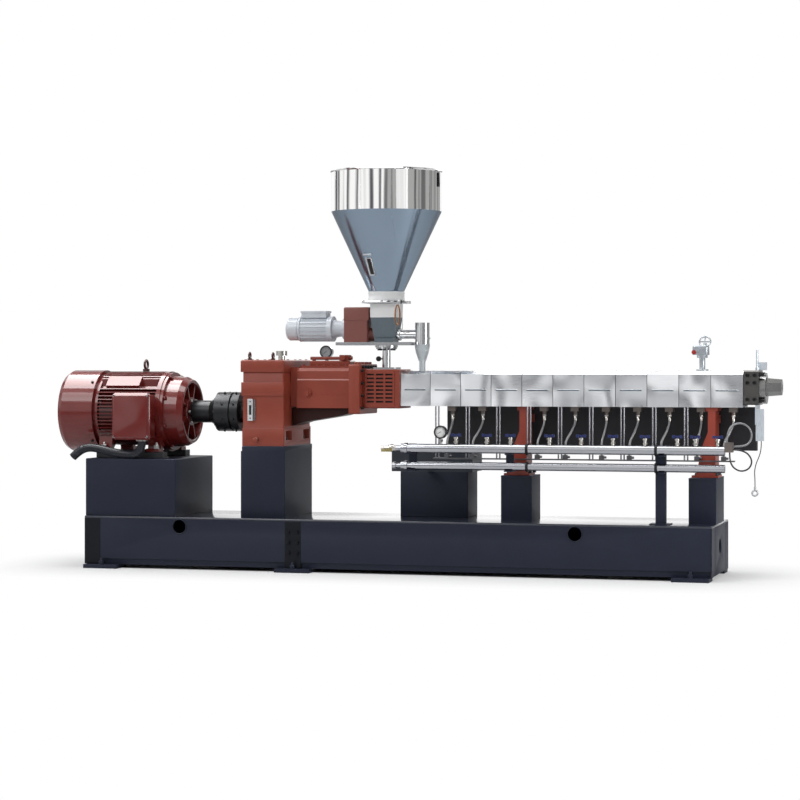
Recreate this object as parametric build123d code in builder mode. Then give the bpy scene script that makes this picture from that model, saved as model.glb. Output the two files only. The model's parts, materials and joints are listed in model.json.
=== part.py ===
from build123d import *
import os
from math import cos, radians, sin, tan

os.makedirs("parts", exist_ok=True)

# Screws and barrel
screw_diameter = 60
screw_spacing = 50
section_length = 240
section_count = 11
section_joint_gap = 0.4
barrel_body_width = 196
barrel_body_height = 196
barrel_flange_width = 228
barrel_flange_drop = 116
barrel_flange_rise = 144
barrel_flange_thickness = 26

# Covers of the barrel
cover_half_width = 141
cover_drop = 122
cover_shoulder = 24
cover_sheet = 3
cover_gap = 4
cover_rib_length = 165
cover_rib_radius = 5
seat_clearance = 0.3

# Drive line, from the coupling to the barrel
coupling_span = 528
reducer_length = 344
neck_length = 56
transmission_length = 436
transmission_flange_length = 88
lantern_length = 296

# Base frame
drive_bay_length = 1270
end_margin = 50
base_width = 900
deck_height = 409
deck_thickness = 16
rail_bottom = 76
rail_flange_width = 150
rail_plate = 14
skid_bottom = 30
skid_width = 110
skid_inset = 14
lifting_hole_diameter = 112
lifting_hole_height = 335
left_hole_distance = 792
right_hole_distance = 1020
rib_thickness = 14
rib_count = 6
foot_length = 280
foot_overhang = 60
foot_depth = 190
foot_inset = 12
anchor_hole_diameter = 28
anchor_edge_distance = 30

# Pedestals and columns
pedestal_width = 860
gearbox_pedestal_overhang = 5
pedestal_margin = 8
motor_pedestal_height = 448
sole_plate_thickness = 40
sole_plate_inset = 10
column_height = 341
mid_column_length = 240
mid_column_width = 312
end_column_length = 206
end_column_width = 420
column_lead = 160
plate_edge = 4

# Main motor
motor_centre_height = 315
motor_rail_height = 50
motor_rail_width = 100
motor_rail_spacing = 508
motor_core_radius = 272
motor_fin_radius = 318
motor_fin_pitch = 28
motor_fin_thickness = 7
motor_fins_per_side = 14
motor_frame_length = 560
motor_ring_length = 34
motor_ring_rise = 22
motor_shield_length = 177
motor_foot_length = 110
motor_foot_height = 26
cowl_length = 309
cowl_radius = 327
cowl_seat_width = 14
cowl_sheet = 4
terminal_box_length = 315
terminal_box_height = 366
terminal_box_offset = 238
terminal_box_front = 500
terminal_box_lid = 46
terminal_lid_bevel = 22
terminal_lid_corner = 30
motor_shaft_radius = 45

# Coupling
coupling_hub_radius = 88
coupling_drum_radius = 155
coupling_drum_length = 196
coupling_drum_gap = 110
coupling_cone_length = 62
coupling_cone_radius = 126
coupling_groove_start = 120
coupling_groove_width = 16
coupling_groove_depth = 14
coupling_pin_count = 8
coupling_pin_width = 20
coupling_pin_height = 8

# Reducer and transmission gearbox
reducer_input_height = 259
reducer_output_height = 435
reducer_width = 690
reducer_height = 668
reducer_band_step = 10
transmission_width = 400
transmission_top = 170
transmission_bottom = 141
transmission_ledge_drop = 41
transmission_ledge_step = 6
transmission_plug_offset = 88
transmission_plug_drop = 26
transmission_plug_radius = 32
flange_width = 500
flange_top = 200
flange_bottom = 186
sump_depth = 110

# Lantern between gearbox and barrel
lantern_half_width = 170
lantern_top = 160
lantern_bottom = 142
lantern_wall = 18
louvre_plate_length = 236
louvre_plate_height = 286
louvre_plate_thickness = 6
louvre_length = 62
louvre_height = 14
louvre_pitch = 30
louvre_rows = 8
louvre_columns = 3

# Barrel supports
support_half_width = 100
support_stem = 56
support_head = 90
support_plate = 16
support_head_height = 36

# Vent valve
vent_stem_length = 100

# Die head
die_plate_length = 113
die_plate_height = 258
die_plate_width = 262
die_ring_length = 47
die_ring_radius = 112
die_nose_length = 114
die_nose_height = 118
melt_bore_radius = 20

# Feeder and hopper
feed_port_offset = 139
feeder_reach = 289
feeder_post_height = 155
feeder_post_radius = 32.5
feeder_flange_radius = 90
feeder_flange_thickness = 16
feeder_plate_thickness = 24
feeder_plate_width = 240
feeder_plate_start = 377
trough_width = 202
trough_height = 160
trough_neck_height = 112
trough_lift = 30
screw_tube_radius = 35
screw_tube_height = 61
reducer_box_length = 200
reducer_box_width = 210
reducer_box_height = 272
reducer_box_gap = 14
feeder_motor_radius = 100
feeder_motor_height = 105
chute_radius = 57
chute_wall = 3
chute_rise = 90
chute_drop = 78
spout_sleeve_height = 126
spout_radius = 24
gate_size = 310
gate_plate_thickness = 10
hopper_radius = 430
hopper_neck_radius = 138
hopper_wall = 4
hopper_neck_height = 72
hopper_cone_height = 620
hopper_cylinder_height = 320
hopper_rim_radius = 8

# Cooling water
manifold_distance = 400
upper_pipe_radius = 35
lower_pipe_radius = 30
upper_pipe_height = 551
lower_pipe_height = 421
manifold_start = 160
manifold_end_margin = 100
pipe_fitting_length = 120
post_size = 76
tank_length = 650
tank_width = 318
tank_height = 172
tank_centre_distance = 275
tank_start = 120
tank_pedestal_length = 544
tank_pedestal_height = 351
tank_wall = 5
gauge_radius = 50
gauge_thickness = 34
gauge_offset = 230
gauge_height = 124

# Places along the machine, measured from the middle of the base
base_length = (drive_bay_length + reducer_length + neck_length + transmission_length
               + transmission_flange_length + lantern_length
               + (section_count - 1) * section_length + end_margin)
base_start = -base_length / 2
base_end = base_length / 2
reducer_start = base_start + drive_bay_length
reducer_end = reducer_start + reducer_length
transmission_start = reducer_end + neck_length
flange_start = transmission_start + transmission_length
lantern_start = flange_start + transmission_flange_length
barrel_start = lantern_start + lantern_length
barrel_end = barrel_start + section_count * section_length
mid_support_x = barrel_start + 4 * section_length
end_support_x = barrel_start + (section_count - 1) * section_length
motor_face = reducer_start - coupling_span
shield_start = motor_face - motor_shield_length
frame_start = shield_start - motor_frame_length
cowl_start = frame_start - cowl_length
feed_x = barrel_start + feed_port_offset
hopper_x = feed_x - feeder_reach
gearbox_pedestal_width = reducer_width + 2 * gearbox_pedestal_overhang

# Heights above the floor
motor_pedestal_top = deck_height + motor_pedestal_height
drive_axis = motor_pedestal_top + motor_rail_height + motor_centre_height
reducer_foot = drive_axis - reducer_input_height
gearbox_pedestal_top = reducer_foot - sole_plate_thickness
screw_axis = reducer_foot + reducer_output_height
column_top = deck_height + column_height
barrel_underside = screw_axis - barrel_flange_drop
barrel_top = screw_axis + barrel_flange_rise
cover_top = barrel_top + seat_clearance + cover_sheet
cover_bottom = screw_axis - cover_drop
feeder_plate_bottom = screw_axis + lantern_top + feeder_post_height + 2 * feeder_flange_thickness
feeder_plate_top = feeder_plate_bottom + feeder_plate_thickness
trough_bottom = feeder_plate_top + trough_lift
trough_top = trough_bottom + trough_height
gate_bottom = trough_top + trough_neck_height
gate_top = gate_bottom + 2 * gate_plate_thickness
cone_bottom = gate_top + hopper_neck_height
cone_top = cone_bottom + hopper_cone_height
hopper_top = cone_top + hopper_cylinder_height
upper_pipe_z = deck_height + upper_pipe_height
lower_pipe_z = deck_height + lower_pipe_height


def block(x0, x1, y0, y1, z0, z1, mode=Mode.ADD):
    """Add a block between two corners to the part being built."""
    with Locations(((x0 + x1) / 2, (y0 + y1) / 2, (z0 + z1) / 2)):
        Box(x1 - x0, y1 - y0, z1 - z0, mode=mode)


def round_x(x0, x1, y, z, radius, mode=Mode.ADD):
    """Add a round bar along X."""
    with Locations(((x0 + x1) / 2, y, z)):
        Cylinder(radius, x1 - x0, rotation=(0, 90, 0), mode=mode)


def round_y(x, y0, y1, z, radius, mode=Mode.ADD):
    """Add a round bar along Y."""
    with Locations((x, (y0 + y1) / 2, z)):
        Cylinder(radius, y1 - y0, rotation=(90, 0, 0), mode=mode)


def round_z(x, y, z0, z1, radius, mode=Mode.ADD):
    """Add a round bar along Z."""
    with Locations((x, y, (z0 + z1) / 2)):
        Cylinder(radius, z1 - z0, mode=mode)


def hexagon_z(x, y, z0, z1, across):
    """Add a hexagonal bolt head or nut that points up."""
    with BuildSketch(Plane.XY.offset(z0)) as outline:
        with Locations((x, y)):
            RegularPolygon(across / 2, 6, major_radius=False)
    extrude(outline.sketch, amount=z1 - z0)


def tube_route(points, radius, stiffness=0.45):
    """Round tube along straight runs, with an arc at each corner as large as its runs allow."""
    runs = [(Vector(b) - Vector(a)).length for a, b in zip(points, points[1:])]
    radii = []
    for i in range(1, len(points) - 1):
        before = Vector(points[i]) - Vector(points[i - 1])
        after = Vector(points[i + 1]) - Vector(points[i])
        half_turn = radians(before.get_angle(after)) / 2
        radii.append(stiffness * min(runs[i - 1], runs[i]) / tan(half_turn))
    with BuildPart(mode=Mode.PRIVATE) as tube:
        with BuildLine() as path:
            FilletPolyline(*points, radius=radii)
        with BuildSketch(Plane(path.line @ 0, z_dir=path.line % 0)):
            Circle(radius)
        sweep()
    return tube.part, path.wires()[0].length, min(radii)


def save(piece, name):
    """Label a finished piece and write its file."""
    piece.part.label = name
    export_step(piece.part, f"parts/{name}.step")


# Base frame: two channel rails, end plates and ribs between them, the deck and the foot plates
rail_top = deck_height - deck_thickness
rail_front = base_width / 2
hole_places = [base_start + left_hole_distance, base_end - right_hole_distance]


def rail_outline(side):
    """Channel section of a rail with the skid bar under it, open to the inside."""
    Polyline(
        (side * rail_front, rail_top),
        (side * rail_front, rail_bottom),
        (side * (rail_front - skid_inset), rail_bottom),
        (side * (rail_front - skid_inset), skid_bottom),
        (side * (rail_front - skid_inset - skid_width), skid_bottom),
        (side * (rail_front - skid_inset - skid_width), rail_bottom),
        (side * (rail_front - rail_flange_width), rail_bottom),
        (side * (rail_front - rail_flange_width), rail_bottom + rail_plate),
        (side * (rail_front - rail_plate), rail_bottom + rail_plate),
        (side * (rail_front - rail_plate), rail_top - rail_plate),
        (side * (rail_front - rail_flange_width), rail_top - rail_plate),
        (side * (rail_front - rail_flange_width), rail_top),
        close=True,
    )


with BuildPart() as base_rails:
    for rail_side in (-1, 1):
        with BuildSketch(Plane.YZ.offset(base_start)) as rail_section:
            with BuildLine():
                rail_outline(rail_side)
            make_face()
        extrude(rail_section.sketch, amount=base_length)
    for hole_x in hole_places:
        round_y(hole_x, -rail_front - 1, rail_front + 1, lifting_hole_height,
                lifting_hole_diameter / 2, mode=Mode.SUBTRACT)
save(base_rails, "base_rails")

rib_half_width = rail_front - rail_flange_width - seat_clearance
rib_pitch = (base_length - rib_thickness) / (rib_count - 1)
with BuildPart() as base_cross_members:
    for i in range(rib_count):
        rib_x = base_start + i * rib_pitch
        block(rib_x, rib_x + rib_thickness, -rib_half_width, rib_half_width, skid_bottom, rail_top)
        round_x(rib_x - 1, rib_x + rib_thickness + 1, 0, lifting_hole_height - 100,
                lifting_hole_diameter / 2, mode=Mode.SUBTRACT)
save(base_cross_members, "base_cross_members")

with BuildPart() as base_deck:
    block(base_start, base_end, -rail_front, rail_front, rail_top, deck_height)
    chamfer(base_deck.edges().group_by(Axis.Z)[-1], length=plate_edge)
save(base_deck, "base_deck")

foot_centre = base_end - foot_inset - foot_length / 2
foot_front = rail_front + foot_overhang
anchor_distance = foot_front - anchor_edge_distance
foot_places = [(-foot_centre, s) for s in (-1, 1)]
foot_places += [(reducer_end + anchor_hole_diameter * 4, s) for s in (-1, 1)]
foot_places += [(foot_centre, s) for s in (-1, 1)]
with BuildPart() as base_feet:
    for foot_x, side in foot_places:
        y0, y1 = sorted((side * foot_front, side * (foot_front - foot_depth)))
        block(foot_x - foot_length / 2, foot_x + foot_length / 2, y0, y1, 0, skid_bottom)
        round_z(foot_x, side * anchor_distance, -1, skid_bottom + 1, anchor_hole_diameter / 2,
                mode=Mode.SUBTRACT)
save(base_feet, "base_feet")

# Pedestals and columns: welded boxes on the deck
with BuildPart() as motor_pedestal:
    block(base_start, motor_face + pedestal_margin, -pedestal_width / 2, pedestal_width / 2,
          deck_height, motor_pedestal_top)
    chamfer(motor_pedestal.edges().filter_by(Axis.Z), length=plate_edge)
    chamfer(motor_pedestal.edges().group_by(Axis.Z)[-1], length=plate_edge)
save(motor_pedestal, "motor_pedestal")

with BuildPart() as gearbox_pedestal:
    block(reducer_start - pedestal_margin, reducer_end + pedestal_margin, -gearbox_pedestal_width / 2,
          gearbox_pedestal_width / 2, deck_height, gearbox_pedestal_top)
    chamfer(gearbox_pedestal.edges().filter_by(Axis.Z), length=plate_edge)
    block(reducer_start - pedestal_margin + sole_plate_inset, reducer_end + pedestal_margin,
          -gearbox_pedestal_width / 2, gearbox_pedestal_width / 2, gearbox_pedestal_top, reducer_foot)
    chamfer(gearbox_pedestal.edges().group_by(Axis.Z)[-1], length=plate_edge)
save(gearbox_pedestal, "gearbox_pedestal")


def column(x0, x1, width):
    """Welded box column from the deck to the barrel supports, with a top plate."""
    cap = rail_plate
    block(x0, x1, -width / 2, width / 2, deck_height, column_top - cap)
    block(x0, x1, -width / 2 - plate_edge, width / 2 + plate_edge, column_top - cap, column_top)


mid_column_start = mid_support_x - column_lead
with BuildPart() as barrel_columns:
    column(mid_column_start, mid_column_start + mid_column_length, mid_column_width)
    column(base_end - end_column_length, base_end, end_column_width)
    chamfer(barrel_columns.edges().filter_by(Axis.Z), length=plate_edge / 2)
save(barrel_columns, "barrel_columns")

# Main motor: two slide rails, finned frame with feet, fan cowl, ribbed end shield and terminal box
motor_foot_top = motor_pedestal_top + motor_rail_height
with BuildPart() as motor_rails:
    for side in (-1, 1):
        rail_y = side * motor_rail_spacing / 2
        block(frame_start + motor_ring_length, shield_start + motor_ring_length,
              rail_y - motor_rail_width / 2, rail_y + motor_rail_width / 2,
              motor_pedestal_top, motor_foot_top)
    chamfer(motor_rails.edges().filter_by(Axis.X), length=plate_edge)
save(motor_rails, "motor_rails")

fin_half_rows = motor_fins_per_side / 2 - 0.5
fin_offsets = [(k - fin_half_rows) * motor_fin_pitch for k in range(motor_fins_per_side)]
foot_outer = motor_rail_spacing / 2 + motor_rail_width / 2
foot_inner = motor_rail_spacing / 2 - motor_rail_width / 2
foot_web_z = -motor_centre_height + motor_foot_height
pad_tilt = 48
pad_radius = motor_fin_radius - 20
front_ring_radius = motor_core_radius + motor_ring_rise
with BuildPart() as motor_frame:
    with BuildSketch(Plane.YZ.offset(frame_start + motor_ring_length)) as fin_section:
        with Locations((0, drive_axis)):
            Circle(motor_core_radius)
        for offset_z in fin_offsets:
            with Locations((0, drive_axis + offset_z)):
                Rectangle(2 * motor_fin_radius, motor_fin_thickness)
        for offset_y in fin_offsets:
            with Locations((offset_y, drive_axis + motor_fin_radius / 2)):
                Rectangle(motor_fin_thickness, motor_fin_radius)
        with Locations((0, drive_axis)):
            Circle(motor_fin_radius, mode=Mode.INTERSECT)
    extrude(amount=motor_frame_length - 2 * motor_ring_length)
    round_x(frame_start, frame_start + motor_ring_length, 0, drive_axis, front_ring_radius)
    round_x(shield_start - motor_ring_length, shield_start, 0, drive_axis, motor_fin_radius)
    for foot_x in (frame_start + motor_ring_length, shield_start - motor_foot_length):
        for side in (-1, 1):
            with BuildSketch(Plane.YZ.offset(foot_x)) as foot_section:
                with BuildLine():
                    Polyline(
                        (side * foot_inner, drive_axis - motor_centre_height),
                        (side * foot_outer, drive_axis - motor_centre_height),
                        (side * foot_outer, drive_axis + foot_web_z),
                        (side * (foot_outer - 50), drive_axis + foot_web_z),
                        (side * motor_core_radius * 0.85, drive_axis - motor_core_radius * 0.5),
                        (side * motor_core_radius * 0.5, drive_axis - motor_core_radius * 0.82),
                        (side * foot_inner, drive_axis + foot_web_z),
                        close=True,
                    )
                make_face()
            extrude(foot_section.sketch, amount=motor_foot_length)
    with Locations(Location((frame_start + motor_frame_length * 0.42,
                             -pad_radius * cos(radians(pad_tilt)),
                             drive_axis + pad_radius * sin(radians(pad_tilt))), (90 - pad_tilt, 0, 0))):
        Box(motor_frame_length * 0.5, 110, 60)
save(motor_frame, "motor_frame")

cowl_end = frame_start - seat_clearance
with BuildPart() as motor_fan_cowl:
    with BuildSketch(Plane.XZ) as cowl_profile:
        with BuildLine():
            Polyline(
                (cowl_end, cowl_radius),
                (cowl_start + 46, cowl_radius),
                (cowl_start + 12, cowl_radius - 20),
                (cowl_start, cowl_radius - 62),
                (cowl_start, 0),
                (cowl_start + cowl_sheet, 0),
                (cowl_start + cowl_sheet, cowl_radius - 62),
                (cowl_start + 12 + cowl_sheet, cowl_radius - 20 - cowl_sheet),
                (cowl_start + 46, cowl_radius - cowl_sheet),
                (cowl_end - cowl_sheet, cowl_radius - cowl_sheet),
                (cowl_end - cowl_sheet, front_ring_radius - cowl_seat_width),
                (cowl_end, front_ring_radius - cowl_seat_width),
                close=True,
            )
        make_face()
    revolve(axis=Axis.X)
    with BuildSketch(Plane.YZ.offset(cowl_start - 1)) as grille:
        for ring_radius, ring_slots in ((80, 8), (150, 14), (215, 20)):
            with PolarLocations(ring_radius, ring_slots):
                SlotOverall(56, 14)
    extrude(amount=cowl_sheet + 2, mode=Mode.SUBTRACT)
motor_fan_cowl.part = motor_fan_cowl.part.moved(Location((0, 0, drive_axis)))
save(motor_fan_cowl, "motor_fan_cowl")

with BuildPart() as motor_fan:
    round_x(cowl_start + 60, cowl_start + 160, 0, drive_axis, 70)
    for blade in range(8):
        with Locations(Location((cowl_start + 110, 0, drive_axis), (blade * 45, 0, 0))):
            with Locations((0, 0, 150)):
                Box(90, 8, 180)
    round_x(cowl_start + 160, frame_start, 0, drive_axis, 35)
save(motor_fan, "motor_fan")

shield_recess = 62
hub_radius = 112
with BuildPart() as motor_end_shield:
    with BuildSketch(Plane.XZ) as shield_profile:
        with BuildLine():
            Polyline(
                (shield_start, motor_shaft_radius + 1),
                (shield_start, motor_fin_radius - 8),
                (shield_start + 26, motor_fin_radius - 8),
                (shield_start + 26, motor_core_radius + 10),
                (motor_face - 46, motor_core_radius + 2),
                (motor_face, motor_core_radius - 22),
                (motor_face, motor_core_radius - 44),
                (motor_face - shield_recess, motor_core_radius - 58),
                (motor_face - shield_recess, hub_radius + 14),
                (motor_face - 10, hub_radius),
                (motor_face - 10, motor_shaft_radius + 1),
                close=True,
            )
        make_face()
        fillet(shield_profile.vertices().sort_by(Axis.X)[-2:], radius=8)
    revolve(axis=Axis.X)
    for rib in range(8):
        with Locations(Location((motor_face - shield_recess / 2 - 8, 0, 0), (rib * 45 + 22.5, 0, 0))):
            with Locations((0, 0, (hub_radius + motor_core_radius - 50) / 2)):
                Box(shield_recess - 16, 14, motor_core_radius - 50 - hub_radius + 16)
motor_end_shield.part = motor_end_shield.part.moved(Location((0, 0, drive_axis)))
save(motor_end_shield, "motor_end_shield")

box_start = frame_start + terminal_box_offset
box_bottom = drive_axis - terminal_box_height * 0.587
box_top = box_bottom + terminal_box_height
conduit_x = box_start + terminal_box_length * 0.72
conduit_y = -(terminal_box_front - 82)
gland_radius = 40
gland_length = 26
with BuildPart() as motor_terminal_box:
    block(box_start + 20, box_start + terminal_box_length - 20, -terminal_box_front + terminal_box_lid,
          -motor_fin_radius - seat_clearance, box_bottom + 14, box_top - 14)
    with BuildSketch(Plane.XZ.offset(terminal_box_front - terminal_box_lid)) as lid_outline:
        with Locations((box_start + terminal_box_length / 2, (box_bottom + box_top) / 2)):
            RectangleRounded(terminal_box_length, terminal_box_height, terminal_lid_corner)
    extrude(amount=terminal_box_lid)
    chamfer(motor_terminal_box.faces().sort_by(Axis.Y)[0].edges(), length=terminal_lid_bevel)
    round_z(conduit_x, conduit_y, box_bottom + 14 - gland_length, box_bottom + 20, gland_radius)
save(motor_terminal_box, "motor_terminal_box")

eye_x = frame_start + motor_frame_length * 0.6
eye_seat = drive_axis + motor_fin_radius


def lifting_eye(x, y, seat, ring_radius, bar_radius):
    """Eye bolt with its ring facing along the machine."""
    collar = ring_radius * 0.6
    round_z(x, y, seat + seat_clearance, seat + collar, ring_radius * 0.8)
    with Locations(Location((x, y, seat + collar + ring_radius), (0, 90, 0))):
        Torus(ring_radius, bar_radius)


# Black conduit from the terminal box along the pedestal's top and over its left end
conduit_radius = 33
conduit_exit = box_bottom + 14 - gland_length - seat_clearance
conduit_low = motor_pedestal_top + conduit_radius + 2
conduit_points = [
    (conduit_x, conduit_y, conduit_exit),
    (conduit_x, conduit_y, conduit_exit - 46),
    (conduit_x - 46, conduit_y + 6, conduit_low + 2),
    (conduit_x - 142, conduit_y + 14, conduit_low - 1),
    (conduit_x - 240, conduit_y + 10, conduit_low + 12),
    (conduit_x - 338, conduit_y + 4, conduit_low + 36),
    (conduit_x - 436, conduit_y, conduit_low + 54),
    (conduit_x - 522, conduit_y - 4, conduit_low + 30),
    (conduit_x - 580, conduit_y - 6, conduit_low - 26),
]
conduit_solid, conduit_length, conduit_bend = tube_route(conduit_points, conduit_radius)
with BuildPart() as motor_conduit:
    add(conduit_solid)
print("motor_conduit", round(conduit_length), "mm, tightest radius", round(conduit_bend))
save(motor_conduit, "motor_conduit")

# Shaft coupling between the motor and the reducer, with the motor's shaft end in it
drum_start = reducer_start - coupling_drum_gap - coupling_drum_length
groove_start = drum_start + coupling_groove_start
groove_radius = coupling_drum_radius - coupling_groove_depth
with BuildPart() as shaft_coupling:
    with BuildSketch(Plane.XZ) as coupling_profile:
        with BuildLine():
            Polyline(
                (shield_start + seat_clearance, 0),
                (shield_start + seat_clearance, motor_shaft_radius),
                (motor_face + 8, motor_shaft_radius),
                (motor_face + 8, coupling_hub_radius),
                (drum_start - coupling_cone_length, coupling_hub_radius),
                (drum_start, coupling_cone_radius),
                (drum_start, coupling_drum_radius),
                (groove_start, coupling_drum_radius),
                (groove_start, groove_radius),
                (groove_start + coupling_groove_width, groove_radius),
                (groove_start + coupling_groove_width, coupling_drum_radius),
                (drum_start + coupling_drum_length, coupling_drum_radius),
                (drum_start + coupling_drum_length, coupling_hub_radius),
                (reducer_start - seat_clearance, coupling_hub_radius),
                (reducer_start - seat_clearance, 0),
                close=True,
            )
        make_face()
    revolve(axis=Axis.X)
    with BuildSketch(Plane.YZ.offset(drum_start - coupling_pin_height)) as pin_heads:
        with PolarLocations((coupling_cone_radius + coupling_drum_radius) / 2, coupling_pin_count):
            RegularPolygon(coupling_pin_width / 2, 6)
    extrude(amount=coupling_pin_height + 1)
shaft_coupling.part = shaft_coupling.part.moved(Location((0, 0, drive_axis)))
save(shaft_coupling, "shaft_coupling")

# Reducer: banded cast housing with bolt pockets in its foot, bolted cap
pocket_width = 145
pocket_height = 74
pocket_depth = 60
pocket_lift = 44
band_lower = 147
band_main = 391
band_collar = 494
band_recess = 574
with BuildPart() as reducer_housing:
    block(reducer_start, reducer_end, -reducer_width / 2, reducer_width / 2, reducer_foot,
          reducer_foot + band_lower - 8)
    block(reducer_start + 5, reducer_end - 5, -reducer_width / 2 + 6, reducer_width / 2 - 6,
          reducer_foot + band_lower - 8, reducer_foot + band_main)
    block(reducer_start - reducer_band_step / 2, reducer_end, -reducer_width / 2 - reducer_band_step,
          reducer_width / 2 + reducer_band_step, reducer_foot + band_main, reducer_foot + band_collar)
    block(reducer_start + 6, reducer_end - 6, -reducer_width / 2 + 8, reducer_width / 2 - 8,
          reducer_foot + band_collar, reducer_foot + band_recess)
    fillet(reducer_housing.edges().filter_by(Axis.Z), radius=10)
    for side in (-1, 1):
        pocket_y = side * reducer_width * 0.32
        for x0, x1 in ((reducer_end - pocket_depth, reducer_end + 1),
                       (reducer_start - 1, reducer_start + pocket_depth)):
            block(x0, x1, pocket_y - pocket_width / 2, pocket_y + pocket_width / 2,
                  reducer_foot + pocket_lift, reducer_foot + pocket_lift + pocket_height,
                  mode=Mode.SUBTRACT)
save(reducer_housing, "reducer_housing")

with BuildPart() as reducer_cap:
    block(reducer_start - reducer_band_step, reducer_end, -reducer_width / 2 - reducer_band_step,
          reducer_width / 2 + reducer_band_step, reducer_foot + band_recess, reducer_foot + reducer_height)
    fillet(reducer_cap.edges().filter_by(Axis.Z), radius=12)
    chamfer(reducer_cap.edges().group_by(Axis.Z)[-1], length=8)
save(reducer_cap, "reducer_cap")

reducer_front = -reducer_width / 2
glass_x = reducer_start + 82
with BuildPart() as sight_glass:
    with BuildSketch(Plane.XZ.offset(-reducer_front - 6 + seat_clearance)) as glass_plate:
        with Locations((glass_x, reducer_foot + 280)):
            RectangleRounded(58, 165, 12)
    extrude(amount=10)
    with BuildSketch(Plane.XZ.offset(-reducer_front + 4)) as glass_tube:
        with Locations((glass_x, reducer_foot + 280)):
            SlotOverall(96, 24, rotation=90)
    extrude(amount=6)
save(sight_glass, "sight_glass")

cap_top = reducer_foot + reducer_height
with BuildPart() as lifting_eyes:
    lifting_eye(eye_x, 0, eye_seat, 34, 10)
    for side in (-1, 1):
        lifting_eye(reducer_start + 45, side * (reducer_width / 2 - 60), cap_top, 22, 7)
save(lifting_eyes, "lifting_eyes")

with BuildPart() as reducer_fittings:
    round_z(reducer_end - 62, reducer_front + 130, cap_top + seat_clearance, cap_top + 34, 26)
    round_z(reducer_end - 62, reducer_front + 130, cap_top + 34, cap_top + 70, 44)
    round_y(reducer_start + 122, reducer_front - 16, reducer_front - seat_clearance,
            reducer_foot + 50, 18)
save(reducer_fittings, "reducer_fittings")

# Transmission gearbox with its neck, end flange, sump and the oil pump on top
body_front = transmission_width / 2
with BuildPart() as transmission_housing:
    block(reducer_end, transmission_start, -body_front + 24, body_front - 24,
          screw_axis - transmission_bottom + 10, screw_axis + transmission_top + 6)
    with BuildSketch(Plane.YZ.offset(transmission_start)) as body_section:
        with BuildLine():
            Polyline(
                (-body_front, screw_axis - transmission_bottom),
                (-body_front, screw_axis - transmission_ledge_drop),
                (-body_front + transmission_ledge_step, screw_axis - transmission_ledge_drop),
                (-body_front + transmission_ledge_step, screw_axis + transmission_top * 0.44),
                (-body_front + 16, screw_axis + transmission_top * 0.5),
                (-body_front + 20, screw_axis + transmission_top * 0.86),
                (-body_front + 48, screw_axis + transmission_top),
                (body_front - 48, screw_axis + transmission_top),
                (body_front - 20, screw_axis + transmission_top * 0.86),
                (body_front - 16, screw_axis + transmission_top * 0.5),
                (body_front - transmission_ledge_step, screw_axis + transmission_top * 0.44),
                (body_front - transmission_ledge_step, screw_axis - transmission_ledge_drop),
                (body_front, screw_axis - transmission_ledge_drop),
                (body_front, screw_axis - transmission_bottom),
                close=True,
            )
        make_face()
    extrude(amount=transmission_length)
    for side in (-1, 1):
        plug_x = transmission_start + transmission_plug_offset
        plug_z = screw_axis - transmission_plug_drop
        y0, y1 = sorted((side * (body_front - 2 * transmission_ledge_step), side * (body_front + 12)))
        round_y(plug_x, y0, y1, plug_z, transmission_plug_radius)
        y0, y1 = sorted((side * (body_front + 12), side * (body_front + 26)))
        round_y(plug_x, y0, y1, plug_z, transmission_plug_radius * 0.6)
save(transmission_housing, "transmission_housing")

with BuildPart() as transmission_flange:
    block(flange_start, lantern_start, -flange_width / 2, flange_width / 2,
          screw_axis - flange_bottom, screw_axis + flange_top)
    fillet(transmission_flange.edges().filter_by(Axis.X), radius=16)
save(transmission_flange, "transmission_flange")

sump_top = screw_axis - transmission_bottom - seat_clearance
with BuildPart() as oil_sump:
    with BuildSketch(Plane.XZ.offset(-transmission_width * 0.36)) as sump_side:
        with BuildLine():
            Polyline(
                (reducer_end + 1, sump_top),
                (flange_start - 1, sump_top),
                (flange_start - 1, sump_top - 34),
                (flange_start - 96, sump_top - 60),
                (reducer_end + 90, sump_top - sump_depth),
                (reducer_end + 1, sump_top - sump_depth - 30),
                close=True,
            )
        make_face()
    extrude(amount=transmission_width * 0.72)
save(oil_sump, "oil_sump")

body_top = screw_axis + transmission_top
cover_face = body_top + 58
with BuildPart() as oil_pump:
    block(transmission_start + 8, flange_start - 20, -body_front + 64, body_front - 64,
          body_top + seat_clearance, body_top + 18)
    block(transmission_start + 70, flange_start - 40, -84, 84, body_top + 18, cover_face)
    chamfer(oil_pump.edges().group_by(Axis.Z)[-1], length=10)
    for i in range(7):
        for side in (-1, 1):
            hexagon_z(transmission_start + 34 + i * 58, side * (body_front - 80), body_top + 18,
                      body_top + 28, 20)
    round_x(transmission_start + 66, flange_start - 76, -44, cover_face + 18, 13)
    block(transmission_start + 84, transmission_start + 104, -60, -28, cover_face, cover_face + 14)
    block(flange_start - 128, flange_start - 60, -70, 30, cover_face, cover_face + 44)
    round_y(flange_start - 94, -96, -66, cover_face + 24, 20)
    round_x(flange_start - 60, flange_start - 34, -30, cover_face + 20, 14)
save(oil_pump, "oil_pump")


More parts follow.
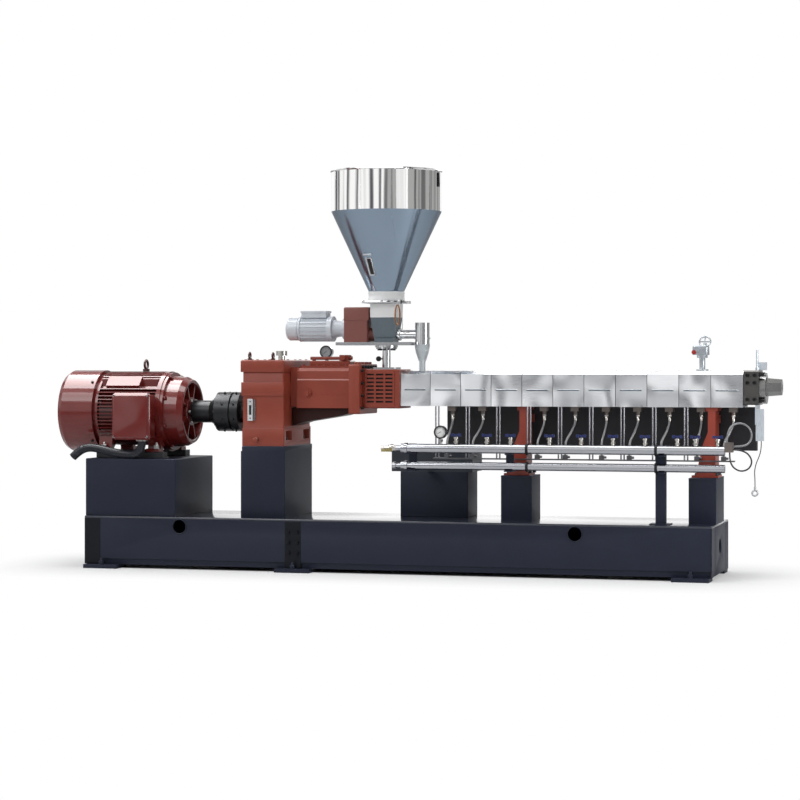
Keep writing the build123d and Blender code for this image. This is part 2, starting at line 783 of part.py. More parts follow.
# Lantern: open box between two end walls, with louvred plates on both sides
plate_mid_x = lantern_start + lantern_length / 2 - 8
plate_mid_z = screw_axis + (lantern_top - lantern_bottom) / 2 + 2
window_length = louvre_plate_length - 32
window_height = louvre_plate_height - 36
with BuildPart() as lantern:
    block(lantern_start, barrel_start, -lantern_half_width, lantern_half_width,
          screw_axis - lantern_bottom, screw_axis + lantern_top)
    fillet(lantern.edges().filter_by(Axis.X), radius=10)
    block(lantern_start + 30, barrel_start - 30, -lantern_half_width + lantern_wall,
          lantern_half_width - lantern_wall, screw_axis - lantern_bottom + lantern_wall,
          screw_axis + lantern_top - lantern_wall, mode=Mode.SUBTRACT)
    block(plate_mid_x - window_length / 2, plate_mid_x + window_length / 2, -lantern_half_width - 1,
          lantern_half_width + 1, plate_mid_z - window_height / 2, plate_mid_z + window_height / 2,
          mode=Mode.SUBTRACT)
    for side in (-1, 1):
        round_x(lantern_start - 1, barrel_start + 1, side * screw_spacing / 2, screw_axis,
                screw_diameter / 2 - 4, mode=Mode.SUBTRACT)
save(lantern, "lantern")

with BuildPart() as lantern_louvres:
    for side in (-1, 1):
        y0, y1 = sorted((side * (lantern_half_width + seat_clearance),
                         side * (lantern_half_width + seat_clearance + louvre_plate_thickness)))
        block(plate_mid_x - louvre_plate_length / 2, plate_mid_x + louvre_plate_length / 2, y0, y1,
              plate_mid_z - louvre_plate_height / 2, plate_mid_z + louvre_plate_height / 2)
    with BuildSketch(Plane.XZ.offset(-lantern_half_width - 20)) as louvre_slots:
        with Locations((plate_mid_x, plate_mid_z + 4)):
            with GridLocations(louvre_length + 14, louvre_pitch, louvre_columns, louvre_rows):
                Rectangle(louvre_length, louvre_height)
    extrude(amount=2 * lantern_half_width + 40, mode=Mode.SUBTRACT)
save(lantern_louvres, "lantern_louvres")

with BuildPart() as screw_shafts:
    for side in (-1, 1):
        shaft_y = side * screw_spacing / 2
        round_x(lantern_start + seat_clearance, barrel_start - seat_clearance, shaft_y, screw_axis,
                screw_diameter / 2 - 9)
        round_x(lantern_start + 100, lantern_start + 190, shaft_y, screw_axis, screw_spacing / 2 - 0.6)
save(screw_shafts, "screw_shafts")

# Barrel: flanged sections, bolted end to end, with the two screw bores through them
with BuildPart() as barrel:
    for i in range(section_count):
        x0 = barrel_start + i * section_length + section_joint_gap
        x1 = barrel_start + (i + 1) * section_length - section_joint_gap / 2
        block(x0, x1, -barrel_body_width / 2, barrel_body_width / 2,
              screw_axis - barrel_body_height / 2, screw_axis + barrel_body_height / 2)
        for f0, f1 in ((x0, x0 + barrel_flange_thickness), (x1 - barrel_flange_thickness, x1)):
            block(f0, f1, -barrel_flange_width / 2, barrel_flange_width / 2, barrel_underside, barrel_top)
    for side in (-1, 1):
        round_x(barrel_start, barrel_end, side * screw_spacing / 2, screw_axis, screw_diameter / 2,
                mode=Mode.SUBTRACT)
save(barrel, "barrel")

cover_inner = cover_half_width - cover_sheet
with BuildPart() as barrel_covers:
    for i in range(section_count):
        x0 = barrel_start + i * section_length + cover_gap / 2
        with BuildSketch(Plane.YZ.offset(x0)) as cover_section:
            with BuildLine():
                Polyline(
                    (-cover_half_width, cover_bottom),
                    (-cover_half_width, cover_top - cover_shoulder),
                    (-cover_half_width + cover_shoulder, cover_top),
                    (cover_half_width - cover_shoulder, cover_top),
                    (cover_half_width, cover_top - cover_shoulder),
                    (cover_half_width, cover_bottom),
                    (cover_inner, cover_bottom),
                    (cover_inner, cover_top - cover_shoulder - 1.2),
                    (cover_half_width - cover_shoulder - 1.2, cover_top - cover_sheet),
                    (-cover_half_width + cover_shoulder + 1.2, cover_top - cover_sheet),
                    (-cover_inner, cover_top - cover_shoulder - 1.2),
                    (-cover_inner, cover_bottom),
                    close=True,
                )
            make_face()
        extrude(cover_section.sketch, amount=section_length - cover_gap)
        for side in (-1, 1):
            round_x(x0 + 36, x0 + 36 + cover_rib_length, side * cover_half_width, screw_axis + 4,
                    cover_rib_radius)
    round_z(feed_x, 0, cover_top - 2 * cover_sheet, cover_top + 1, spout_radius + 1,
            mode=Mode.SUBTRACT)
save(barrel_covers, "barrel_covers")

# T-shaped barrel supports: foot, stem with a gusset towards the drive, head under the barrel
trunk_front = 190
with BuildPart() as barrel_supports:
    for support_x in (mid_support_x, end_support_x):
        stem = support_stem / 2
        head = support_head / 2
        with BuildSketch(Plane.XZ.offset(-support_half_width)) as support_side:
            with BuildLine():
                Polyline(
                    (support_x - 150, column_top),
                    (support_x + end_margin, column_top),
                    (support_x + end_margin, column_top + support_plate),
                    (support_x + stem, column_top + support_plate),
                    (support_x + stem, barrel_underside - support_head_height),
                    (support_x + head, barrel_underside - support_head_height),
                    (support_x + head, barrel_underside),
                    (support_x - head, barrel_underside),
                    (support_x - head, barrel_underside - support_head_height),
                    (support_x - stem, barrel_underside - support_head_height),
                    (support_x - stem, column_top + 340),
                    (support_x - stem - 36, column_top + 250),
                    (support_x - stem - 92, column_top + support_plate),
                    (support_x - 150, column_top + support_plate),
                    close=True,
                )
            make_face()
        extrude(support_side.sketch, amount=2 * support_half_width)
        block(support_x - stem, support_x + stem, support_half_width - 1, trunk_front - seat_clearance,
              barrel_underside - 130, barrel_underside - 70)
save(barrel_supports, "barrel_supports")

# Die head: bolted plate, round ring, hexagonal nose with the melt outlet
ring_start = barrel_end + die_plate_length
nose_start = ring_start + die_ring_length
nose_end = nose_start + die_nose_length
with BuildPart() as die_head:
    block(barrel_end + seat_clearance, ring_start, -die_plate_width / 2, die_plate_width / 2,
          screw_axis - die_plate_height * 0.4, screw_axis + die_plate_height * 0.6)
    chamfer(die_head.edges().filter_by(Axis.X), length=10)
    for bolt_z in (-62, 62, 118):
        for side in (-1, 1):
            y0, y1 = sorted((side * die_plate_width / 2, side * (die_plate_width / 2 + 10)))
            for bolt_x in (30, 84):
                round_y(barrel_end + bolt_x, y0, y1, screw_axis + bolt_z, 10)
save(die_head, "die_head")

with BuildPart() as die_nose:
    round_x(ring_start, nose_start, 0, screw_axis + 16, die_ring_radius)
    with BuildSketch(Plane.YZ.offset(nose_start)) as nose_section:
        with Locations((0, screw_axis + 28)):
            RegularPolygon(die_nose_height / 2, 6, major_radius=False, rotation=30)
    extrude(amount=die_nose_length, taper=4)
    round_x(nose_start - 1, nose_end + 1, 0, screw_axis + 28, melt_bore_radius, mode=Mode.SUBTRACT)
save(die_nose, "die_nose")

die_top = screw_axis + die_plate_height * 0.6
guard_top = screw_axis - die_plate_height * 0.4
guard_bottom = screw_axis - 370
with BuildPart() as die_fittings:
    round_z(barrel_end + 92, -40, die_top + seat_clearance, die_top + 20, 14)
    round_z(barrel_end + 92, -40, die_top + 20, die_top + 150, 9)
    block(ring_start - 20, ring_start + 44, -44, 30, die_top + seat_clearance, die_top + 60)
    block(ring_start - 26, ring_start - 20, -die_plate_width / 2, die_plate_width / 2,
          guard_bottom + 120, guard_top - seat_clearance)
    block(ring_start - 21, ring_start + 40, -die_plate_width / 2, -die_plate_width / 2 + 6,
          guard_bottom, guard_top - 30)
save(die_fittings, "die_fittings")

# Vent valve on the tenth barrel section
vent_x = barrel_start + 9.65 * section_length
vent_seat = cover_top + vent_stem_length
with BuildPart() as vent_valve:
    round_z(vent_x, 0, cover_top, cover_top + 14, 46)
    round_z(vent_x, 0, cover_top + 14, vent_seat, 22)
    round_z(vent_x, 0, vent_seat, vent_seat + 22, 40)
    with BuildSketch(Plane.XY.offset(vent_seat + 22)) as vent_body:
        with Locations((vent_x - 10, 0)):
            RectangleRounded(120, 96, 22)
    extrude(amount=72)
    fillet(vent_valve.edges().group_by(Axis.Z)[-1], radius=14)
    round_z(vent_x + 20, 0, vent_seat + 94, vent_seat + 112, 12)
    with Locations(Location((vent_x + 20, 0, vent_seat + 122), (62, 0, 0))):
        Torus(42, 6)
    with Locations(Location((vent_x + 20, 0, vent_seat + 122), (62, 0, 0))):
        Box(84, 9, 6)
        Box(9, 84, 6)
    round_y(vent_x - 48, -92, -48, vent_seat + 42, 8)
    round_y(vent_x - 48, -112, -92, vent_seat + 42, 17)
save(vent_valve, "vent_valve")

# Feeder: post on the lantern, base plate, reducer and motor, trough, screw tube, chute and spout
lantern_roof = screw_axis + lantern_top
post_top = lantern_roof + feeder_post_height + feeder_flange_thickness
plate_start = hopper_x - feeder_plate_start
with BuildPart() as feeder_stand:
    with BuildSketch(Plane.XY.offset(lantern_roof)) as post_foot:
        with Locations((hopper_x, 0)):
            RectangleRounded(190, 170, 12)
    extrude(amount=feeder_flange_thickness)
    round_z(hopper_x, 0, lantern_roof + feeder_flange_thickness, post_top, feeder_post_radius)
    round_z(hopper_x, 0, post_top, feeder_plate_bottom, feeder_flange_radius)
    for bolt in range(6):
        angle = radians(60 * bolt + 30)
        hexagon_z(hopper_x + 72 * cos(angle), 72 * sin(angle), post_top - 14, post_top, 22)
    block(plate_start, feed_x - chute_radius - 6, -feeder_plate_width / 2, feeder_plate_width / 2,
          feeder_plate_bottom, feeder_plate_top)
save(feeder_stand, "feeder_stand")

trough_start = hopper_x - trough_width / 2
trough_end = hopper_x + trough_width / 2
with BuildPart() as feeder_trough:
    block(trough_start + 24, trough_end - 24, -trough_width * 0.38, trough_width * 0.38,
          feeder_plate_top, trough_bottom)
    with BuildSketch(Plane.XY.offset(trough_bottom)) as trough_floor:
        with Locations((hopper_x, 0)):
            Rectangle(trough_width - 36, trough_width * 0.6)
    with BuildSketch(Plane.XY.offset(trough_top)) as trough_mouth:
        with Locations((hopper_x, 0)):
            Rectangle(trough_width, trough_width)
    loft()
    block(trough_start, trough_end, -trough_width / 2, trough_width / 2, trough_top,
          gate_bottom - seat_clearance)
save(feeder_trough, "feeder_trough")
trough_body = offset(feeder_trough.part, amount=seat_clearance, mode=Mode.PRIVATE)

tube_z = feeder_plate_top + screw_tube_height
box_end = trough_start - reducer_box_gap
box_front = reducer_box_width / 2
with BuildPart() as feeder_reducer:
    block(box_end - reducer_box_length, box_end - 14, -box_front, box_front, feeder_plate_top,
          feeder_plate_top + reducer_box_height * 0.62)
    block(box_end - reducer_box_length, box_end, -box_front - 4, box_front + 4,
          feeder_plate_top + reducer_box_height * 0.62, feeder_plate_top + reducer_box_height)
    fillet(feeder_reducer.edges().group_by(Axis.Z)[-1], radius=10)
    round_x(box_end - 14, trough_start + 16, 0, tube_z, 52)
    add(trough_body, mode=Mode.SUBTRACT)
save(feeder_reducer, "feeder_reducer")

reducer_box_start = box_end - reducer_box_length
motor_z = feeder_plate_top + feeder_motor_height
with BuildPart() as feeder_motor:
    with BuildSketch(Plane.XZ) as motor_profile:
        with BuildLine():
            Polyline(
                (reducer_box_start - 486, 0),
                (reducer_box_start - 486, 78),
                (reducer_box_start - 470, 90),
                (reducer_box_start - 396, 90),
                (reducer_box_start - 396, 84),
                (reducer_box_start - 384, 84),
                (reducer_box_start - 384, feeder_motor_radius),
                (reducer_box_start - 372, feeder_motor_radius),
                (reducer_box_start - 372, feeder_motor_radius - 10),
                (reducer_box_start - 150, feeder_motor_radius - 10),
                (reducer_box_start - 150, feeder_motor_radius),
                (reducer_box_start - 112, feeder_motor_radius),
                (reducer_box_start - 112, 70),
                (reducer_box_start - 30, 58),
                (reducer_box_start - 30, 80),
                (reducer_box_start - seat_clearance, 80),
                (reducer_box_start - seat_clearance, 0),
                close=True,
            )
        make_face()
    revolve(axis=Axis.X)
    for fin in range(20):
        angle = 18 * fin + 9
        with Locations(Location((reducer_box_start - 261, 0, 0), (angle, 0, 0))):
            with Locations((0, 0, feeder_motor_radius - 7)):
                Box(222, 4, 14)
    block(reducer_box_start - 360, reducer_box_start - 160, -62, 62, feeder_motor_radius - 12,
          feeder_motor_radius + 26)
    block(reducer_box_start - 366, reducer_box_start - 154, -68, 68, feeder_motor_radius + 26,
          feeder_motor_radius + 40)
feeder_motor.part = feeder_motor.part.moved(Location((0, 0, motor_z)))
save(feeder_motor, "feeder_motor")

chute_bottom = tube_z - chute_drop
with BuildPart() as feed_chute:
    round_x(hopper_x + trough_width / 4, feed_x, 0, tube_z, screw_tube_radius)
    round_x(trough_end + 2, trough_end + 14, 0, tube_z, screw_tube_radius + 14)
    add(trough_body, mode=Mode.SUBTRACT)
    round_z(feed_x, 0, chute_bottom, tube_z + chute_rise, chute_radius)
    round_z(feed_x, 0, chute_bottom + 40, chute_bottom + 52, chute_radius + 6)
    round_z(feed_x, 0, chute_bottom - 1, tube_z + chute_rise - chute_wall, chute_radius - chute_wall,
            mode=Mode.SUBTRACT)
save(feed_chute, "feed_chute")

sleeve_bottom = chute_bottom - spout_sleeve_height
with BuildPart() as feed_spout:
    with BuildSketch(Plane.XZ) as spout_profile:
        with BuildLine():
            Polyline(
                (chute_radius + 3, chute_bottom - 2 * seat_clearance),
                (chute_radius - 6, sleeve_bottom + 66),
                (spout_radius + 6, sleeve_bottom),
                (spout_radius, sleeve_bottom - 8),
                (spout_radius, barrel_top),
                (spout_radius - 4, barrel_top),
                (spout_radius - 4, sleeve_bottom - 8),
                (spout_radius + 2, sleeve_bottom + 4),
                (chute_radius - 10, sleeve_bottom + 68),
                (chute_radius - 1, chute_bottom - 2 * seat_clearance),
                close=True,
            )
        make_face()
    revolve(axis=Axis.Z)
feed_spout.part = feed_spout.part.moved(Location((feed_x, 0, 0)))
save(feed_spout, "feed_spout")

# Hopper: slide gate plates with a ring handle, neck and cone, cylinder with a rolled rim
handle_x = hopper_x + gate_size / 2 - 26
with BuildPart() as hopper_gate:
    block(hopper_x - gate_size / 2, hopper_x + gate_size / 2, -gate_size / 2, gate_size / 2,
          gate_bottom, gate_bottom + gate_plate_thickness)
    block(hopper_x - gate_size / 2 + 16, hopper_x + gate_size / 2 - 16, -gate_size / 2 + 16,
          gate_size / 2 - 16, gate_bottom + gate_plate_thickness, gate_top)
    block(hopper_x - trough_width / 2 + 10, hopper_x + trough_width / 2 - 10, -trough_width / 2 + 10,
          trough_width / 2 - 10, gate_bottom - 1, gate_top + 1, mode=Mode.SUBTRACT)
    with BuildSketch(Plane.XZ.offset(gate_size / 2 - 20)) as handle_ring:
        with Locations((handle_x, gate_bottom - 94)):
            Ellipse(24, 82)
            Ellipse(14, 71, mode=Mode.SUBTRACT)
    extrude(amount=12)
    block(handle_x - 8, handle_x + 8, -gate_size / 2 + 2, -gate_size / 2 + 26, gate_bottom - 16,
          gate_bottom + 1)
save(hopper_gate, "hopper_gate")

with BuildPart() as hopper_cone:
    with BuildSketch(Plane.XZ) as cone_profile:
        with BuildLine():
            Polyline(
                (hopper_neck_radius, gate_top + seat_clearance),
                (hopper_neck_radius, cone_bottom),
                (hopper_radius, cone_top),
                (hopper_radius - hopper_wall, cone_top),
                (hopper_neck_radius - hopper_wall, cone_bottom + 2),
                (hopper_neck_radius - hopper_wall, gate_top + seat_clearance),
                close=True,
            )
        make_face()
    revolve(axis=Axis.Z)
hopper_cone.part = hopper_cone.part.moved(Location((hopper_x, 0, 0)))
save(hopper_cone, "hopper_cone")

with BuildPart() as hopper_cylinder:
    with BuildSketch(Plane.XZ) as cylinder_profile:
        with BuildLine():
            Polyline(
                (hopper_radius - hopper_wall, cone_top + seat_clearance),
                (hopper_radius, cone_top + seat_clearance),
                (hopper_radius, hopper_top - 2 * hopper_rim_radius),
                (hopper_radius + hopper_rim_radius, hopper_top - hopper_rim_radius),
                (hopper_radius, hopper_top),
                (hopper_radius - hopper_wall, hopper_top),
                close=True,
            )
        make_face()
    revolve(axis=Axis.Z)
hopper_cylinder.part = hopper_cylinder.part.moved(Location((hopper_x, 0, 0)))
save(hopper_cylinder, "hopper_cylinder")

# Cooling water: tank on its pedestal, two manifold pipes on posts and brackets
tank_left = -tank_start
tank_front = tank_centre_distance - tank_width / 2
tank_back = tank_centre_distance + tank_width / 2
tank_pedestal_top = deck_height + tank_pedestal_height
with BuildPart() as tank_pedestal:
    block(tank_left + 70, tank_left + 70 + tank_pedestal_length, tank_front, tank_back, deck_height,
          tank_pedestal_top)
    chamfer(tank_pedestal.edges().filter_by(Axis.Z), length=plate_edge)
save(tank_pedestal, "tank_pedestal")

with BuildPart() as water_tank:
    block(tank_left, tank_left + tank_length, tank_front, tank_back, tank_pedestal_top,
          tank_pedestal_top + tank_height - 10)
    block(tank_left + tank_wall, tank_left + tank_length - tank_wall, tank_front + tank_wall,
          tank_back - tank_wall, tank_pedestal_top + tank_wall, tank_pedestal_top + tank_height,
          mode=Mode.SUBTRACT)
save(water_tank, "water_tank")

tank_top = tank_pedestal_top + tank_height
with BuildPart() as tank_lid:
    block(tank_left - 6, tank_left + tank_length + 6, tank_front - 6, tank_back + 6, tank_top - 10,
          tank_top)
    chamfer(tank_lid.edges().group_by(Axis.Z)[-1], length=3)
    round_z(tank_left + 110, tank_centre_distance, tank_top, tank_top + 20, 44)
save(tank_lid, "tank_lid")

pipe_y = -manifold_distance
pipe_start = barrel_start + manifold_start
pipe_end = barrel_end - manifold_end_margin
joint_places = [mid_support_x + 98, mid_support_x + 1073]


def manifold(z, radius):
    """Manifold pipe with its clamp joints, end cap and reducing union."""
    round_x(pipe_start, pipe_end, pipe_y, z, radius)
    for joint_x in joint_places:
        round_x(joint_x - 8, joint_x + 8, pipe_y, z, radius + 5)
    round_x(pipe_start - 30, pipe_start, pipe_y, z, radius - 4)
    round_x(pipe_start - 52, pipe_start - 30, pipe_y, z, radius + 6)
    round_x(pipe_start - 80, pipe_start - 52, pipe_y, z, radius)
    round_x(pipe_start - pipe_fitting_length, pipe_start - 80, pipe_y, z, radius * 0.6)


with BuildPart() as manifold_pipes:
    manifold(upper_pipe_z, upper_pipe_radius)
    manifold(lower_pipe_z, lower_pipe_radius)
    round_x(pipe_start - pipe_fitting_length - 26, pipe_start - pipe_fitting_length, pipe_y,
            lower_pipe_z, lower_pipe_radius * 0.9)
save(manifold_pipes, "manifold_pipes")

bracket_plate = 10
post_x = joint_places[1] + 25
post_front = pipe_y + upper_pipe_radius + 8
arm_top = lower_pipe_z - lower_pipe_radius - seat_clearance
with BuildPart() as manifold_posts:
    block(post_x - post_size / 2, post_x + post_size / 2, post_front, post_front + 50, deck_height,
          upper_pipe_z + upper_pipe_radius)
    block(post_x - post_size, post_x + post_size, pipe_y - 10, post_front + 86, deck_height,
          deck_height + bracket_plate)
    for z, radius in ((upper_pipe_z, upper_pipe_radius), (lower_pipe_z, lower_pipe_radius)):
        block(post_x - 6, post_x + post_size / 2, pipe_y - radius, post_front + 1,
              z - radius - bracket_plate, z - radius - seat_clearance)
    for x, wall_y in ((mid_support_x - 44, -support_half_width), (tank_left + 300, tank_front)):
        block(x - 30, x + 30, pipe_y - 30, wall_y - seat_clearance, arm_top - bracket_plate, arm_top)
        block(x - 30, x + 30, post_front, post_front + 10, arm_top - bracket_plate,
              upper_pipe_z + upper_pipe_radius)
        block(x - 30, x + 30, pipe_y - 4, post_front + 1,
              upper_pipe_z - upper_pipe_radius - bracket_plate,
              upper_pipe_z - upper_pipe_radius - seat_clearance)
save(manifold_posts, "manifold_posts")

# Dial gauges: water pressure on the upper pipe, oil pressure on the oil pump
gauge_place = pipe_start + gauge_offset
oil_gauge_x = transmission_start + 178
with BuildPart() as dial_gauges:
    round_z(gauge_place, pipe_y, upper_pipe_z + upper_pipe_radius - 2, upper_pipe_z + 80, 11)
    hexagon_z(gauge_place, pipe_y, upper_pipe_z + 52, upper_pipe_z + 70, 30)
    round_y(gauge_place, pipe_y - gauge_thickness / 2, pipe_y + gauge_thickness / 2,
            upper_pipe_z + gauge_height, gauge_radius)
    round_y(gauge_place, pipe_y - gauge_thickness / 2 - 1, pipe_y - gauge_thickness / 2 + 6,
            upper_pipe_z + gauge_height, gauge_radius - 6, mode=Mode.SUBTRACT)
    round_x(pipe_start - 10, pipe_end + 10, pipe_y, upper_pipe_z, upper_pipe_radius + seat_clearance,
            mode=Mode.SUBTRACT)
    round_z(oil_gauge_x, 20, cover_face + seat_clearance, cover_face + 24, 14)
    round_y(oil_gauge_x, 0, 40, cover_face + 68, gauge_radius)
    round_y(oil_gauge_x, -5, 0, cover_face + 68, gauge_radius - 6)
save(dial_gauges, "dial_gauges")

# Connector blocks under the barrel with braided hoses to the valve rail, valves on the manifold
block_height = 62
block_half_length = 30
served_sections = [i for i in range(1, section_count) if i != 3]
block_places = [barrel_start + (i + 0.66) * section_length for i in served_sections]
valve_places = [x + section_length * 0.46 for x in block_places[:-2]]
valve_places += [mid_support_x - 30, block_places[-2] + 4, pipe_end - 52]
rail_back = -support_half_width - seat_clearance
rail_front_y = rail_back - 56
rail_z = lower_pipe_z + 40
rail_plate_thickness = 10
rail_fitting_height = 30
rail_fitting_length = 36
rail_fitting_depth = 34
tube_y = -support_half_width - 28
tube_shares = (0.17, 0.27)
junction_x = pipe_end + seat_clearance
with BuildPart() as connector_blocks:
    for x in block_places:
        block(x - block_half_length, x + block_half_length, -96, -20, barrel_underside - block_height + 20,
              screw_axis - barrel_body_height / 2 - seat_clearance)
        round_z(x, -58, barrel_underside - block_height - 4, barrel_underside - block_height + 20, 16)
    block(junction_x, junction_x + 60, pipe_y - 32, pipe_y + 32, upper_pipe_z - 8, upper_pipe_z + 64)
save(connector_blocks, "connector_blocks")

valve_start = pipe_start - pipe_fitting_length
with BuildPart() as cooling_valves:
    round_x(valve_start - 62, valve_start - seat_clearance, pipe_y, upper_pipe_z, 23)
    round_x(valve_start - 118, valve_start - 62, pipe_y, upper_pipe_z, 15)
    with Locations((valve_start - 34, pipe_y, upper_pipe_z)):
        Sphere(30)
    round_y(valve_start - 34, pipe_y - 46, pipe_y - 20, upper_pipe_z, 9)
    block(valve_start - 104, valve_start - 22, pipe_y - 54, pipe_y - 46, upper_pipe_z - 26,
          upper_pipe_z - 6)
    for x in valve_places:
        round_z(x, pipe_y, upper_pipe_z, upper_pipe_z + 76, 13)
        round_z(x, pipe_y, upper_pipe_z + 76, upper_pipe_z + 88, 19)
        round_y(x, pipe_y, pipe_y + 46, upper_pipe_z + 64, 10)
        hexagon_z(x, pipe_y, upper_pipe_z + 46, upper_pipe_z + 56, 34)
    round_x(pipe_start - 10, pipe_end + 10, pipe_y, upper_pipe_z, upper_pipe_radius + seat_clearance,
            mode=Mode.SUBTRACT)
save(cooling_valves, "cooling_valves")

with BuildPart() as valve_handles:
    for x in valve_places:
        round_z(x, pipe_y, upper_pipe_z + 88 + seat_clearance, upper_pipe_z + 100, 9)
        block(x - 38, x + 38, pipe_y - 8, pipe_y + 8, upper_pipe_z + 100, upper_pipe_z + 110)
        for side in (-1, 1):
            x0, x1 = sorted((x + side * 18, x + side * 38))
            block(x0, x1, pipe_y - 11, pipe_y + 11, upper_pipe_z + 92, upper_pipe_z + 114)
save(valve_handles, "valve_handles")

hose_radius = 9


def hose_lean(i):
    """Distance along the machine from a hose's top to its foot."""
    return -46 + 22 * sin(2.3 * i)


with BuildPart() as cooling_hoses:
    for i, x in zip(served_sections, block_places):
        lean = hose_lean(i)
        top = barrel_underside - block_height - 4 - seat_clearance
        foot = rail_z + rail_plate_thickness + rail_fitting_height + seat_clearance
        hose, _, _ = tube_route([
            (x, -58, top),
            (x, -58, top - 60),
            (x + lean * 0.35, -96, top - 130),
            (x + lean * 0.9, tube_y, foot + 110),
            (x + lean, tube_y, foot + 50),
            (x + lean, tube_y, foot),
        ], hose_radius)
        add(hose)
save(cooling_hoses, "cooling_hoses")

with BuildPart() as valve_rail:
    block(barrel_start + 1.1 * section_length, block_places[-1] + rail_fitting_length / 2, rail_front_y,
          rail_back, rail_z, rail_z + rail_plate_thickness)
    for i, x in zip(served_sections, block_places):
        fitting_x = x + hose_lean(i)
        block(fitting_x - rail_fitting_length / 2, fitting_x + rail_fitting_length / 2,
              tube_y - rail_fitting_depth / 2, tube_y + rail_fitting_depth / 2,
              rail_z + rail_plate_thickness, rail_z + rail_plate_thickness + rail_fitting_height)
        round_x(fitting_x + rail_fitting_length / 2, fitting_x + rail_fitting_length, tube_y,
                rail_z + rail_plate_thickness + rail_fitting_height / 2, hose_radius)
save(valve_rail, "valve_rail")

with BuildPart() as return_tubes:
    for i in range(1, section_count - 1):
        for share in tube_shares:
            round_z(barrel_start + (i + share) * section_length, tube_y,
                    rail_z + rail_plate_thickness + seat_clearance, cover_bottom - seat_clearance, 6)
save(return_tubes, "return_tubes")

# Rear cable trunk behind the barrel
with BuildPart() as rear_trunk:
    block(barrel_start + 1.21 * section_length, barrel_end + 60, trunk_front, trunk_front + 70,
          upper_pipe_z - 16, cover_bottom - 2)
save(rear_trunk, "rear_trunk")

# Leads at the die: two loops at the junction block, and the probe's lead under the guard
block_top = upper_pipe_z + 64 + seat_clearance
block_side = junction_x + 60 + seat_clearance
heater_points = [
    (junction_x + 16, pipe_y - 8, block_top),
    (junction_x + 16, pipe_y - 8, block_top + 52),
    (junction_x + 42, pipe_y - 10, block_top + 118),
    (junction_x + 104, pipe_y - 8, block_top + 148),
    (junction_x + 170, pipe_y - 2, block_top + 124),
    (junction_x + 200, pipe_y + 6, block_top + 62),
    (junction_x + 182, pipe_y + 12, block_top - 2),
    (junction_x + 128, pipe_y + 12, block_top - 30),
    (block_side, pipe_y + 12, block_top - 30),
]
heater_solid, heater_length, heater_bend = tube_route(heater_points, 7)
with BuildPart() as heater_cable:
    add(heater_solid)
print("heater_cable", round(heater_length), "mm, tightest radius", round(heater_bend))
save(heater_cable, "heater_cable")

block_floor = upper_pipe_z - 8 - seat_clearance
sensor_points = [
    (block_side, pipe_y - 12, block_floor + 20),
    (block_side + 50, pipe_y - 12, block_floor + 20),
    (block_side + 112, pipe_y - 13, block_floor - 6),
    (block_side + 144, pipe_y - 16, block_floor - 64),
    (block_side + 118, pipe_y - 20, block_floor - 122),
    (block_side + 56, pipe_y - 22, block_floor - 140),
    (block_side - 2, pipe_y - 18, block_floor - 108),
    (block_side - 24, pipe_y - 12, block_floor - 52),
    (block_side - 24, pipe_y - 12, block_floor),
]
sensor_solid, sensor_length, sensor_bend = tube_route(sensor_points, 6)
with BuildPart() as sensor_cable:
    add(sensor_solid)
print("sensor_cable", round(sensor_length), "mm, tightest radius", round(sensor_bend))
save(sensor_cable, "sensor_cable")

lead_x = ring_start + 20
lead_y = -die_plate_width / 2 + 3
lead_top = guard_bottom - seat_clearance
lead_points = [
    (lead_x, lead_y, lead_top),
    (lead_x, lead_y, lead_top - 56),
    (lead_x - 14, lead_y - 4, lead_top - 112),
    (lead_x - 38, lead_y - 8, lead_top - 166),
    (lead_x - 50, lead_y - 8, lead_top - 226),
    (lead_x - 46, lead_y - 4, lead_top - 284),
    (lead_x - 46, lead_y - 4, lead_top - 340),
]
lead_solid, lead_length, lead_bend = tube_route(lead_points, 3.5)
with BuildPart() as probe_lead:
    add(lead_solid)
print("probe_lead", round(lead_length), "mm, tightest radius", round(lead_bend))
save(probe_lead, "probe_lead")

with BuildPart() as probe_ring:
    round_z(lead_x - 46, lead_y - 4, lead_top - 366, lead_top - 340 - seat_clearance, 8)
    with Locations(Location((lead_x - 46, lead_y - 4, lead_top - 386), (90, 0, 0))):
        Torus(20, 7)
save(probe_ring, "probe_ring")
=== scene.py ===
"""Looks of a twin-screw plastic extruder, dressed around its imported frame."""

import json
import logging
import math
from collections.abc import Callable, Iterable, Sequence
from dataclasses import dataclass, field
from enum import Enum
from itertools import pairwise, product

import bmesh
import bpy
from mathutils import Matrix, Vector

